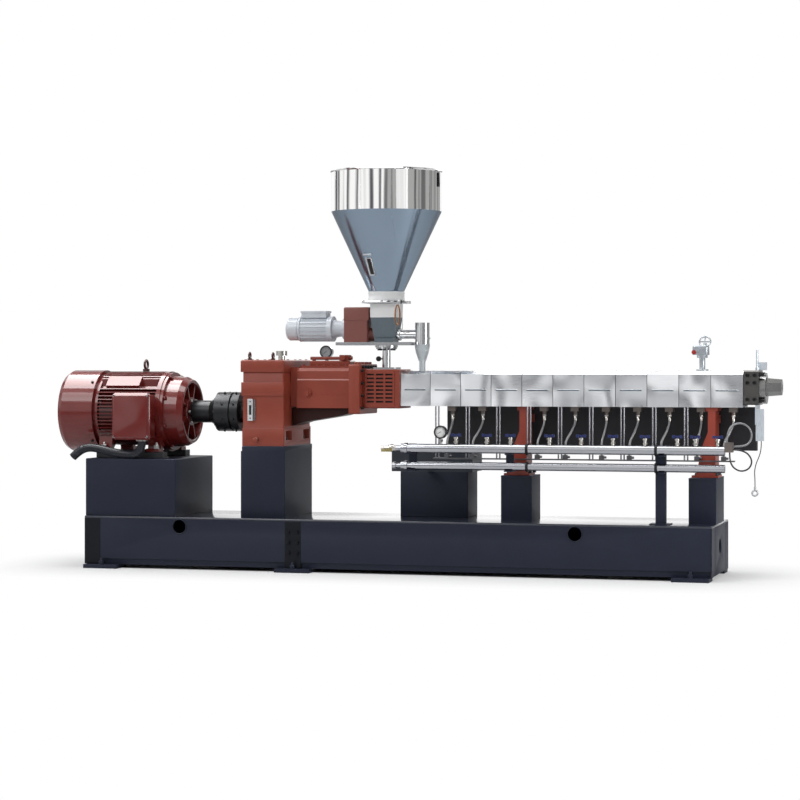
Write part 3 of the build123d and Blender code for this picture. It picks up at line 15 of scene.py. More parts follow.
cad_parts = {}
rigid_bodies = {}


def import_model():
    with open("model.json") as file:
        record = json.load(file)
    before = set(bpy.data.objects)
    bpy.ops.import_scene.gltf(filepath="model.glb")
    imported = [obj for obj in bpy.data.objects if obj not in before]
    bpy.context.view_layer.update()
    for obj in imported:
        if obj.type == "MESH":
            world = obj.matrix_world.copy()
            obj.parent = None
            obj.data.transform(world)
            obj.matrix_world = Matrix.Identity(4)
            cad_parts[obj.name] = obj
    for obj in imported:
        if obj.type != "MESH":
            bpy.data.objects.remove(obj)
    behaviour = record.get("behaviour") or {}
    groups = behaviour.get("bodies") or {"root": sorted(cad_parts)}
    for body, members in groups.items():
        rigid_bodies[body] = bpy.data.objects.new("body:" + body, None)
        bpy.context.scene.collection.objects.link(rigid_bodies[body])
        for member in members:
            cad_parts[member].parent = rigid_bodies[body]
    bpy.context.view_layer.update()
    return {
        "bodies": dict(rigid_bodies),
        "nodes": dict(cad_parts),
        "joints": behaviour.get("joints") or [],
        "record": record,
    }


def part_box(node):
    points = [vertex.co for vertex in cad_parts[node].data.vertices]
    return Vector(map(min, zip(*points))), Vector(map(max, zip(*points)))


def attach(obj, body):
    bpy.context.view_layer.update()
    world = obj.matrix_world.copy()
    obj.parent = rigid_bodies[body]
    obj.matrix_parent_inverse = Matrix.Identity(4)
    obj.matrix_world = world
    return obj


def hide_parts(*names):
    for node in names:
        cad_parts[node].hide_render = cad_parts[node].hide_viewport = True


Colour = tuple[float, float, float]
Point = tuple[float, float, float]
Profile = Sequence[tuple[float, float]]
Piece = bpy.types.Object
Socket = bpy.types.NodeSocket

LOG = logging.getLogger("extruder")
ROOT = "root"
UP = Vector((0, 0, 1))
FRONT = Vector((0, -1, 0))
BACK = Vector((0, 1, 0))
TOWARDS_DIE = Vector((1, 0, 0))
TOWARDS_MOTOR = Vector((-1, 0, 0))
SIDES = (-1, 1)
WHITE = (1.0, 1.0, 1.0, 1.0)

SECTION = 0.240
FIRST_SECTION = 0.020
SECTIONS = 11
SCREW_AXIS = 1.398
MOTOR_AXIS = 1.222
HOPPER_X = -0.130


@dataclass(frozen=True)
class Texture:
    """The fine texture of a surface.

    Args:
        scale: How many features a metre holds.
        stretch: Factor on that number along each axis.
        spread: Share by which the roughness varies.
    """

    scale: float
    stretch: Point = (1.0, 1.0, 1.0)
    spread: float = 0.25


class Grain(Enum):
    """How a surface was made, with the fine texture that this leaves."""

    ENAMEL = Texture(170.0, spread=0.05)
    CAST = Texture(240.0)
    BRUSHED_ALONG = Texture(620.0, (0.03, 1.0, 1.0))
    BRUSHED_UP = Texture(620.0, (1.0, 1.0, 0.03))
    TURNED = Texture(420.0, (1.0, 0.5, 1.0))
    BRAID = Texture(260.0)
    PLAIN = Texture(300.0, spread=0.08)


@dataclass(frozen=True)
class Finish:
    """A surface finish, named as the record's material slot.

    Args:
        slot: Name of the material slot.
        colour: Linear colour of a clean surface.
        grain: How the surface was made.
        metallic: 1 for bare metal, 0 for paint, rubber and plastic.
        roughness: Mean roughness.
        mottling: Share by which the colour varies.
        relief: Depth of the fine relief, in metres.
        coat: Weight of a clear gloss coat.
        transmission: 1 for glass and clear plastic.
        warp: Height of the slow waves that sheet metal has, in metres.
        specular: Strength of the mirrored light on a surface that isn't bare metal.
        coat_roughness: Roughness of that clear coat.
        brushing: How much the brushing spreads mirrored light across its lines.
        kin: The record's slot that the finish belongs to, if it has another name.
    """

    slot: str
    colour: Colour
    grain: Grain = Grain.ENAMEL
    metallic: float = 0.0
    roughness: float = 0.35
    mottling: float = 0.12
    relief: float = 0.0002
    coat: float = 0.0
    transmission: float = 0.0
    warp: float = 0.0
    specular: float = 0.5
    coat_roughness: float = 0.08
    brushing: float = 0.0
    kin: str = ""


FINISHES: tuple[Finish, ...] = (
    Finish("navy_paint", (0.0185, 0.0225, 0.039), roughness=0.55, relief=0.0003, coat=0.22, specular=0.1,
           coat_roughness=0.3),
    Finish("deck_paint", (0.022, 0.026, 0.042), roughness=0.2, coat=1.0, warp=0.012, kin="navy_paint"),
    Finish("red_paint", (0.265, 0.050, 0.029), roughness=0.36, relief=0.0004, coat=0.12, specular=0.35),
    Finish("motor_red_paint", (0.150, 0.014, 0.011), Grain.CAST, roughness=0.4, relief=0.0005, coat=0.9,
           specular=0.15),
    Finish("feeder_red_paint", (0.220, 0.075, 0.062), roughness=0.4, relief=0.0004),
    Finish("orange_red_paint", (0.330, 0.050, 0.028), roughness=0.35, coat=0.2),
    # The red paint darkened towards brown-black: painted shade for the set-back oil sump.
    Finish("dark_red_paint", (0.034, 0.011, 0.009), Grain.CAST, roughness=0.4, relief=0.0004, specular=0.2),
    Finish("light_grey_paint", (0.58, 0.61, 0.65), Grain.CAST, roughness=0.36, coat=0.3),
    Finish("eye_paint", (0.075, 0.022, 0.018), Grain.CAST, roughness=0.35, coat=0.3, kin="machined_steel"),
    # Near-black paint for the rail splices and their bolts: painted shade of the recessed joints.
    Finish("joint_black", (0.007, 0.008, 0.012), roughness=0.5, specular=0.2, kin="navy_paint"),
    Finish("tank_grey", (0.036, 0.042, 0.054), roughness=0.35, coat=0.15, specular=0.3),
    Finish("trunk_black", (0.012, 0.012, 0.015), roughness=0.42),
    Finish("coupling_black", (0.016, 0.017, 0.019), Grain.TURNED, 0.4, 0.34, 0.2, 0.0002),
    Finish("dark_steel", (0.045, 0.046, 0.050), Grain.CAST, 0.5, 0.42, 0.3, 0.0003),
    Finish("connector_brown", (0.17, 0.145, 0.13), Grain.CAST, 0.7, 0.4, 0.2, 0.0002, kin="dark_steel"),
    Finish("die_steel", (0.115, 0.112, 0.108), Grain.TURNED, 1.0, 0.36, 0.25, 0.0002),
    Finish("nose_steel", (0.26, 0.26, 0.255), Grain.TURNED, 1.0, 0.26, 0.2, 0.0001, kin="die_steel"),
    Finish("machined_steel", (0.56, 0.57, 0.59), Grain.TURNED, 1.0, 0.28, 0.1, 0.0001),
    Finish("barrel_steel", (0.20, 0.20, 0.205), Grain.TURNED, 1.0, 0.42, 0.2, 0.0002),
    Finish("bolt_zinc", (0.48, 0.48, 0.47), Grain.TURNED, 1.0, 0.32, 0.2, 0.0001, kin="machined_steel"),
    Finish("bolt_black", (0.022, 0.022, 0.024), Grain.TURNED, 0.7, 0.38, 0.2, 0.0001, kin="dark_steel"),
    Finish("bare_plate", (0.72, 0.73, 0.74), Grain.BRUSHED_ALONG, 0.9, 0.3, 0.05, 0.00003,
           kin="machined_steel"),
    Finish("stainless", (0.66, 0.67, 0.68), Grain.BRUSHED_ALONG, 1.0, 0.2, 0.04, 0.00002, warp=0.004),
    Finish("cover_sheet", (0.80, 0.81, 0.83), Grain.BRUSHED_ALONG, 1.0, 0.19, 0.03, 0.000004, warp=0.055,
           brushing=0.8, kin="stainless"),
    Finish("mirror_sheet", (0.84, 0.84, 0.83), Grain.PLAIN, 1.0, 0.07, 0.03, 0.00001, warp=0.003,
           kin="stainless"),
    Finish("trough_sheet", (0.13, 0.165, 0.185), Grain.BRUSHED_UP, 0.4, 0.34, 0.06, 0.00002, kin="stainless"),
    Finish("rail_steel", (0.17, 0.17, 0.18), Grain.PLAIN, 1.0, 0.3, 0.1, 0.00002, kin="stainless"),
    Finish("white_sleeve", (0.80, 0.80, 0.79), Grain.PLAIN, 0.0, 0.5, 0.03, 0.0001, kin="stainless"),
    Finish("pipe_steel", (0.46, 0.47, 0.50), Grain.PLAIN, 1.0, 0.13, 0.04, 0.000005),
    Finish("thin_tube", (0.38, 0.38, 0.41), Grain.PLAIN, 1.0, 0.22, 0.05, 0.00002),
    Finish("hopper_grey", (0.27, 0.34, 0.42), Grain.BRUSHED_UP, 1.0, 0.16, 0.05, 0.00001, warp=0.004),
    Finish("sheet_grey", (0.60, 0.65, 0.70), Grain.BRUSHED_UP, 0.5, 0.32, 0.1, 0.0001),
    Finish("vent_blue_grey", (0.42, 0.46, 0.49), Grain.CAST, 0.6, 0.3, 0.15, 0.0002),
    Finish("valve_metal", (0.60, 0.58, 0.54), Grain.TURNED, 1.0, 0.24, 0.12, 0.0001),
    Finish("yellow_brass", (0.46, 0.38, 0.16), Grain.TURNED, 1.0, 0.3, 0.12, 0.0001, kin="valve_metal"),
    Finish("bronze", (0.34, 0.16, 0.075), Grain.TURNED, 1.0, 0.26, 0.2, 0.0001, kin="valve_metal"),
    Finish("braided_hose", (0.30, 0.30, 0.31), Grain.BRAID, 1.0, 0.34, 0.3, 0.0006),
    Finish("pale_cable", (0.27, 0.275, 0.285), Grain.BRAID, 0.5, 0.4, 0.2, 0.0003),
    Finish("black_rubber", (0.022, 0.024, 0.032), Grain.PLAIN, roughness=0.36, coat=0.2),
    Finish("black_plastic", (0.015, 0.015, 0.017), Grain.PLAIN, roughness=0.5),
    Finish("ink_black", (0.010, 0.010, 0.011), Grain.PLAIN, 0.0, 0.5, 0.0, 0.0, kin="black_plastic"),
    Finish("knob_red", (0.36, 0.016, 0.014), Grain.PLAIN, roughness=0.26, coat=0.5, kin="black_plastic"),
    Finish("blue_handle", (0.016, 0.028, 0.130), Grain.PLAIN, roughness=0.3, coat=0.3),
    Finish("gauge_case", (0.62, 0.62, 0.63), Grain.TURNED, 1.0, 0.16, 0.05, 0.00002),
    Finish("dial_white", (0.82, 0.82, 0.80), Grain.PLAIN, 0.0, 0.4, 0.02, 0.0, kin="gauge_case"),
    Finish("gauge_glass", (0.80, 0.86, 0.88), Grain.PLAIN, 0.0, 0.06, 0.0, 0.0, transmission=0.9),
    Finish("clear_plastic", (0.78, 0.82, 0.84), Grain.PLAIN, 0.0, 0.12, 0.03, 0.00002, transmission=0.8),
)


class Graph:
    """The node tree of a material or of the sky, filled call by call."""

    def __init__(self, owner: bpy.types.Material | bpy.types.World) -> None:
        """Opens the owner's node tree."""
        owner.use_nodes = True
        self.nodes, self.links = owner.node_tree.nodes, owner.node_tree.links

    def feed(self, node: bpy.types.Node, inputs: dict) -> bpy.types.Node:
        """Links the sockets and sets the constants that a node takes in.

        Args:
            node: The node.
            inputs: A socket or a constant for each input's name or number.

        Returns:
            The node.
        """
        for key, value in inputs.items():
            if isinstance(value, Socket):
                self.links.new(value, node.inputs[key])
            else:
                node.inputs[key].default_value = value
        return node

    def add(self, kind: str, inputs: dict, **settings: str) -> bpy.types.Node:
        """Adds a node.

        Args:
            kind: The node's type, without its prefix.
            inputs: A socket or a constant for each input's name or number.
            settings: The node's own settings.

        Returns:
            The node.
        """
        node = self.nodes.new(f"ShaderNode{kind}")
        for name, value in settings.items():
            setattr(node, name, value)
        return self.feed(node, inputs)

    def count(self, operation: str, *values: Socket | float | Point, kind: str = "Math",
              output: str | int = 0) -> Socket:
        """Works out one step of arithmetic, with numbers or with vectors."""
        return self.add(kind, dict(enumerate(values)), operation=operation).outputs[output]

    def span(self, value: Socket, source: tuple[float, float], target: tuple[float, float],
             curve: str = "LINEAR") -> Socket:
        """Maps one range of values to another.

        Args:
            value: What is mapped.
            source: The range that it comes in.
            target: The range that it goes out in.
            curve: How it gets from one end to the other.

        Returns:
            The mapped value.
        """
        ends = dict(zip(("From Min", "From Max", "To Min", "To Max"), (*source, *target)))
        return self.add("MapRange", {"Value": value} | ends, interpolation_type=curve).outputs["Result"]

    def multiply(self, colour: Socket | Sequence[float], factor: Socket) -> Socket:
        """Multiplies a colour by a factor."""
        return self.add("Mix", {"Factor": 1.0, "A": colour, "B": factor}, data_type="RGBA",
                        blend_type="MULTIPLY").outputs["Result"]

    def noise(self, place: Socket, scale: float, detail: float) -> Socket:
        """Lays a noise of so many features a metre, with so many finer layers."""
        return self.add("TexNoise", {"Vector": place, "Scale": scale, "Detail": detail}).outputs["Fac"]

    def show(self, share: Socket, first: bpy.types.Node, second: bpy.types.Node) -> None:
        """Shows a mixture of two shaders.

        Args:
            share: How much of the second is in it.
            first: The first shader.
            second: The second shader.
        """
        mixed = self.add("MixShader", {"Fac": share, 1: first.outputs[0], 2: second.outputs[0]})
        output = next(node for node in self.nodes if node.type.startswith("OUTPUT"))
        self.feed(output, {"Surface": mixed.outputs["Shader"]})


class FinishShop:
    """Makes each finish once as a material and lays it on the pieces."""

    INDEX = 1.45
    BROAD_SCALE = 5.0
    BROAD_DETAIL = 4.0
    FINE_DETAIL = 3.0
    GLOSS_RANGE = (0.3, 0.7)
    RELIEF_STRENGTH = 0.6
    WAVE_SCALE = 3.2
    SECTION_JUMP = 17.3
    STRAND_TURNS = ((0.4, 0.7, 0.0), (0.4, -0.7, 0.0))
    OWN_FINISHES = {
        "barrel_covers": "cover_sheet", "hopper_cylinder": "mirror_sheet", "base_deck": "deck_paint",
        "connector_blocks": "connector_brown", "feeder_trough": "trough_sheet", "die_nose": "nose_steel",
        "valve_rail": "rail_steel", "lifting_eyes": "eye_paint",
    }

    def __init__(self) -> None:
        """Stocks the shop with every finish."""
        self.finishes = {finish.slot: finish for finish in FINISHES}
        self.made: dict[str, bpy.types.Material] = {}

    def coat_frame(self, frame: dict) -> None:
        """Lays each CAD node's finish on it, its own one or that of the record's slot.

        Args:
            frame: What the frame holds.
        """
        for entry in frame["record"]["subparts"]:
            node = entry["node"]
            self.coat(frame["nodes"][node], self.OWN_FINISHES.get(node, entry["material_slot"]))

    def coat(self, piece: Piece, slot: str) -> None:
        """Lays a finish on a piece."""
        piece.data.materials.clear()
        piece.data.materials.append(self.material(slot))

    def kin(self, slot: str) -> str:
        """Gives the record's slot that a finish belongs to."""
        return self.finishes[slot].kin or slot

    def material(self, slot: str) -> bpy.types.Material:
        """Gives the material of a finish, and makes it at its first use.

        Args:
            slot: Name of the finish.

        Returns:
            The material.
        """
        if slot not in self.made:
            self.made[slot] = self.mix(self.finishes[slot])
        return self.made[slot]

    def mix(self, finish: Finish) -> bpy.types.Material:
        """Builds the nodes of one finish.

        Args:
            finish: What the surface is like.

        Returns:
            The new material.
        """
        material = bpy.data.materials.new(finish.slot)
        graph = Graph(material)
        place = graph.add("TexCoord", {}).outputs["Object"]
        broad = graph.noise(place, self.BROAD_SCALE, self.BROAD_DETAIL)
        fine = self.fine_relief(graph, place, finish.grain)
        colour = (*finish.colour, 1.0)
        if finish.mottling > 0:
            tones = (1.0 - finish.mottling, 1.0 + finish.mottling)
            colour = graph.multiply(colour, graph.span(broad, (0.0, 1.0), tones))
        uneven = fine if finish.grain in (Grain.BRUSHED_ALONG, Grain.BRUSHED_UP) else broad
        low, high = (finish.roughness * (1.0 + sign * finish.grain.value.spread) for sign in SIDES)
        inputs = {
            "Base Color": colour,
            "Roughness": graph.span(uneven, self.GLOSS_RANGE, (max(0.02, low), min(1.0, high))),
            "Metallic": finish.metallic, "Specular IOR Level": finish.specular, "IOR": self.INDEX,
            "Coat Weight": finish.coat, "Coat Roughness": finish.coat_roughness,
            "Transmission Weight": finish.transmission,
        }
        if finish.brushing > 0:
            across = graph.add("CombineXYZ", {"Y": 1.0, "Z": 1.0})
            inputs |= {"Anisotropic": finish.brushing, "Tangent": across.outputs["Vector"]}
        if finish.relief > 0:
            bump = {"Height": fine, "Distance": finish.relief, "Strength": self.RELIEF_STRENGTH}
            if finish.warp > 0:
                bump["Normal"] = self.warp(graph, place, finish.warp)
            inputs["Normal"] = graph.add("Bump", bump).outputs["Normal"]
        graph.feed(graph.nodes["Principled BSDF"], inputs)
        return material

    def warp(self, graph: Graph, place: Socket, height: float) -> Socket:
        """Lays the slow waves of sheet metal, other ones on each section of the machine.

        Args:
            graph: Nodes of the material.
            place: Where on the piece.
            height: Height of the waves.

        Returns:
            The waved normal.
        """
        x, y, z = graph.add("SeparateXYZ", {"Vector": place}).outputs
        section = graph.count("SNAP", graph.count("SUBTRACT", x, FIRST_SECTION), SECTION)
        jumped = graph.count("MULTIPLY_ADD", section, self.SECTION_JUMP, y)
        moved = graph.add("CombineXYZ", {"X": x, "Y": jumped, "Z": z}).outputs["Vector"]
        waves = graph.noise(moved, self.WAVE_SCALE, 0.0)
        return graph.add("Bump", {"Height": waves, "Distance": height, "Strength": 1.0}).outputs["Normal"]

    def fine_relief(self, graph: Graph, place: Socket, grain: Grain) -> Socket:
        """Lays the fine texture of a grain.

        Args:
            graph: Nodes of the material.
            place: Where on the piece.
            grain: How the surface was made.

        Returns:
            The texture's height.
        """
        stretched = graph.add("Mapping", {"Vector": place, "Scale": grain.value.stretch}).outputs["Vector"]
        if grain is not Grain.BRAID:
            return graph.noise(stretched, grain.value.scale, self.FINE_DETAIL)
        strands = []
        for turn in self.STRAND_TURNS:
            turned = graph.add("Mapping", {"Vector": stretched, "Rotation": turn}).outputs["Vector"]
            wave = graph.add("TexWave", {"Vector": turned, "Scale": grain.value.scale})
            strands.append(wave.outputs["Fac"])
        return graph.count("MULTIPLY", *strands)


@dataclass(frozen=True)
class Extent:
    """The lowest and highest corners of a CAD node at rest."""

    low: Vector
    high: Vector

    @classmethod
    def of(cls, node: str) -> "Extent":
        """Reads a node's corners from the frame."""
        return cls(*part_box(node))

    @property
    def centre(self) -> Vector:
        """The middle of the box."""
        return (self.low + self.high) / 2

    @property
    def size(self) -> Vector:
        """The three edge lengths."""
        return self.high - self.low


class Fastener(Enum):
    """Kinds of small fasteners: sides and profile of each part, one unit across."""

    HEX = ((20, ((0.64, 0.0), (0.64, 0.10))), (6, ((0.577, 0.10), (0.577, 0.60), (0.50, 0.68))))
    SOCKET = ((18, ((0.5, 0.0), (0.5, 0.78), (0.44, 0.86), (0.27, 0.86), (0.27, 0.5))),)
    PAN = ((14, ((0.5, 0.0), (0.47, 0.14), (0.34, 0.26), (0.14, 0.31))),)
    NUT = ((20, ((0.64, 0.0), (0.64, 0.10))), (6, ((0.577, 0.10), (0.577, 0.75), (0.50, 0.82))),
           (12, ((0.3, 0.82), (0.3, 1.3), (0.25, 1.36))))


def towards(direction: Vector) -> Matrix:
    """Gives the turn that brings +Z to a direction."""
    return UP.rotation_difference(direction.normalized()).to_matrix().to_4x4()


def upright(normal: Vector) -> Matrix:
    """Gives the turn that faces +Z to a normal and keeps +Y upwards."""
    sideways = UP.cross(normal).normalized()
    return Matrix((sideways, normal.cross(sideways), normal)).transposed().to_4x4()


def seat(point: Sequence[float], direction: Vector, size: float = 1.0) -> Matrix:
    """Gives the matrix that stands a piece of some size on a point, with its +Z in a direction."""
    return Matrix.Translation(Vector(point)) @ towards(direction) @ Matrix.Scale(size, 4)


def seats(points: Iterable[Sequence[float]], direction: Vector, size: float) -> list[Matrix]:
    """Gives the matrices that stand like pieces on points."""
    return [seat(point, direction, size) for point in points]


def around(x: float, height: float, radius: float, count: int, start: float, size: float,
           facing: Vector | None = None) -> list[Matrix]:
    """Gives the matrices that stand a ring of pieces around a shaft that lies along the machine.

    Args:
        x: Where along the machine.
        height: Height of the shaft.
        radius: Radius of the ring.
        count: Number of pieces.
        start: Angle of the first, in degrees.
        size: Size of a piece.
        facing: Where they face, if not outwards.

    Returns:
        The matrices.
    """
    turns = [math.radians(start + 360 * i / count) for i in range(count)]
    outwards = [Vector((0, math.cos(turn), math.sin(turn))) for turn in turns]
    return [seat(Vector((x, 0, height)) + out * radius, facing or out, size) for out in outwards]


class Workbench:
    """Hand tools: primitives, edit-mode operators, modifiers and copies."""

    SMOOTH_ANGLE = math.radians(40)
    EDGE_ANGLE = math.radians(30)
    CAD_EDGE_ANGLE = math.radians(25)
    FLAT_ANGLE = math.radians(1)
    FACING = 0.99
    SAME_PLACE = 1e-5

    def __init__(self, shop: FinishShop) -> None:
        """Sets up the bench.

        Args:
            shop: The shop that coats its pieces.
        """
        self.shop = shop
        self.fasteners: dict[Fastener, Piece] = {}
        self.patterns: set[Piece] = set()

    @staticmethod
    def clear() -> None:
        """Leaves edit mode and deselects everything."""
        if bpy.context.mode != "OBJECT":
            bpy.ops.object.mode_set(mode="OBJECT")
        bpy.ops.object.select_all(action="DESELECT")

    def select(self, *pieces: Piece) -> None:
        """Selects these pieces alone.

        Args:
            pieces: The pieces, the active one first.
        """
        self.clear()
        for piece in pieces:
            piece.select_set(True)
        bpy.context.view_layer.objects.active = pieces[0]

    def turned(self, name: str, sides: int, profile: Profile, hollow: bool = False) -> Piece:
        """Models a turned or prismatic form by extruding a disc, or a hoop for a ring, step by step.

        Args:
            name: Name of the piece.
            sides: Number of sides.
            profile: Radius and height of each step from the bottom, or of each corner of a ring's section.
            hollow: Whether it is a ring.

        Returns:
            The piece, around the origin.
        """
        self.clear()
        steps = (*profile, profile[0]) if hollow else profile
        radius, height = profile[0]
        bpy.ops.mesh.primitive_circle_add(vertices=sides, radius=radius, location=(0, 0, height),
                                          fill_type="NOTHING" if hollow else "NGON")
        piece = bpy.context.active_object
        piece.name = name
        bpy.ops.object.transform_apply(location=True, rotation=True, scale=True)
        bpy.ops.object.mode_set(mode="EDIT")
        bpy.ops.mesh.select_mode(type="VERT")
        bpy.ops.mesh.select_all(action="SELECT")
        for (radius, height), (next_radius, next_height) in pairwise(steps):
            bpy.ops.mesh.extrude_region_move(TRANSFORM_OT_translate={"value": (0, 0, next_height - height)})
            ratio = next_radius / radius
            if not math.isclose(ratio, 1):
                bpy.ops.transform.resize(value=(ratio, ratio, 1), center_override=(0, 0, next_height))
        bpy.ops.mesh.select_all(action="SELECT")
        if hollow:
            bpy.ops.mesh.remove_doubles(threshold=self.SAME_PLACE)
        bpy.ops.mesh.normals_make_consistent(inside=False)
        bpy.ops.object.mode_set(mode="OBJECT")
        bpy.ops.object.shade_smooth_by_angle(angle=self.SMOOTH_ANGLE)
        return piece

    def block(self, name: str, low: Sequence[float], high: Sequence[float],
              bevel: float = 0.002, segments: int = 2) -> Piece:
        """Models a block with rounded edges.

        Args:
            name: Name of the piece.
            low: Its lowest corner.
            high: Its highest corner.
            bevel: Width of the rounded edges, 0 to leave them sharp.
            segments: Steps across a rounded edge.

        Returns:
            The piece.
        """
        low, high = Vector(low), Vector(high)
        self.clear()
        bpy.ops.mesh.primitive_cube_add(size=1, location=(low + high) / 2)
        piece = bpy.context.active_object
        piece.name = name
        piece.scale = high - low
        bpy.ops.object.transform_apply(location=True, rotation=True, scale=True)
        return self.round_edges(piece, bevel, segments) if bevel > 0 else piece

    def round_edges(self, piece: Piece, width: float, segments: int = 2, angle: float = EDGE_ANGLE) -> Piece:
        """Rounds the sharp edges of a piece with an applied modifier.

        Args:
            piece: The piece.
            width: Width of the rounding.
            segments: Steps across it.
            angle: Smallest angle of an edge that counts as sharp.

        Returns:
            The piece.
        """
        self.select(piece)
        bevel = piece.modifiers.new("edges", "BEVEL")
        bevel.width, bevel.segments = width, segments
        bevel.limit_method, bevel.angle_limit = "ANGLE", angle
        bpy.ops.object.modifier_apply(modifier=bevel.name)
        bpy.ops.object.shade_smooth_by_angle(angle=angle)
        return piece

    def panel(self, name: str, low: Sequence[float], high: Sequence[float], facing: Vector,
              rim: float, sink: float, bevel: float = 0.002) -> Piece:
        """Models a block whose facing side is inset and sunk or raised.

        Args:
            name: Name of the piece.
            low: Its lowest corner.
            high: Its highest corner.
            facing: The side that gets the inset.
            rim: Width of the rim around the inset.
            sink: How far the inset goes in, negative to raise it.
            bevel: Width of the rounded edges.

        Returns:
            The piece.
        """
        piece = self.block(name, low, high, 0.0)
        self.select(piece)
        bpy.ops.object.mode_set(mode="EDIT")
        bpy.ops.mesh.select_mode(type="FACE")
        mesh = bmesh.from_edit_mesh(piece.data)
        for face in mesh.faces:
            face.select_set(face.normal.dot(facing) > self.FACING)
        mesh.select_flush_mode()
        bmesh.update_edit_mesh(piece.data)
        bpy.ops.mesh.inset(thickness=rim, depth=-sink)
        bpy.ops.object.mode_set(mode="OBJECT")
        return self.round_edges(piece, bevel)

    def join(self, name: str, pieces: Sequence[Piece]) -> Piece:
        """Joins pieces into one.

        Args:
            name: Name of the joined piece.
            pieces: What is joined.

        Returns:
            The joined piece.
        """
        self.select(*pieces)
        if len(pieces) > 1:
            bpy.ops.object.join()
        pieces[0].name = name
        return pieces[0]

    def hand_over(self, piece: Piece, slot: str, place: Matrix | None = None) -> Piece:
        """Coats a piece, hands it to the frame's body and reports it.

        Args:
            piece: The piece.
            slot: Its finish.
            place: Where its mesh goes, if it isn't there.

        Returns:
            The piece.
        """
        if place is not None:
            piece.data.transform(place)
            piece.data.update()
        self.shop.coat(piece, slot)
        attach(piece, ROOT)
        self.shop.kin(slot)
        LOG.info("%s in %s", piece.name, slot)
        return piece

    def repeat(self, name: str, pattern: Piece, places: Sequence[Matrix], slot: str) -> Piece:
        """Copies a pattern to many places and hands the copies over as one piece.

        Args:
            name: Name of the piece.
            pattern: What is copied, and removed at the end.
            places: One matrix for each copy.
            slot: Its finish.

        Returns:
            The piece.
        """
        self.patterns.add(pattern)
        made = []
        for place in places:
            copy = pattern.copy()
            copy.data = pattern.data.copy()
            copy.data.transform(place)
            bpy.context.scene.collection.objects.link(copy)
            made.append(copy)
        return self.hand_over(self.join(name, made), slot)

    def fasten(self, name: str, kind: Fastener, places: Sequence[Matrix], slot: str) -> Piece:
        """Sets a row or ring of fasteners as one piece.

        Args:
            name: Name of the piece.
            kind: Kind of fastener, which is modelled at its first use.
            places: Where each stands, with its width across as the matrix's scale.
            slot: Its finish.

        Returns:
            The piece.
        """
        if kind not in self.fasteners:
            parts = [self.turned("part", sides, profile) for sides, profile in kind.value]
            self.fasteners[kind] = self.join(f"pattern_{kind.name.lower()}", parts)
        return self.repeat(name, self.fasteners[kind], places, slot)

    def soften(self, node: str, width: float, segments: int = 2) -> Piece:
        """Replaces a boxy CAD node by a copy with rounded edges.

        Args:
            node: Name of the node.
            width: Width of the rounding.
            segments: Steps across it.

        Returns:
            The rounded copy.
        """
        source = bpy.data.objects[node]
        piece = source.copy()
        piece.data = source.data.copy()
        for key in [key for key in piece.keys() if key.startswith("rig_")]:
            del piece[key]
        piece.parent = None
        bpy.context.scene.collection.objects.link(piece)
        piece.name = f"{node}_finished"
        self.select(piece)
        bpy.ops.mesh.customdata_custom_splitnormals_clear()
        bpy.ops.object.mode_set(mode="EDIT")
        bpy.ops.mesh.select_all(action="SELECT")
        bpy.ops.mesh.remove_doubles(threshold=2 * self.SAME_PLACE)
        bpy.ops.mesh.dissolve_limited(angle_limit=self.FLAT_ANGLE)
        bpy.ops.object.mode_set(mode="OBJECT")
        self.round_edges(piece, width, segments, self.CAD_EDGE_ANGLE)
        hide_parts(node)
        return self.hand_over(piece, source.data.materials[0].name.split(".")[0])

    def recoat(self, piece: Piece, slot: str, wanted: Callable[[Vector], bool]) -> None:
        """Lays another finish on the faces of one region.

        Args:
            piece: The piece.
            slot: The other finish.
            wanted: The test that a face's middle has to pass.
        """
        piece.data.materials.append(self.shop.material(slot))
        for face in piece.data.polygons:
            if wanted(face.center):
                face.material_index = len(piece.data.materials) - 1

    def clear_patterns(self) -> None:
        """Removes what was copied, at the end."""
        for pattern in self.patterns:
            bpy.data.objects.remove(pattern)


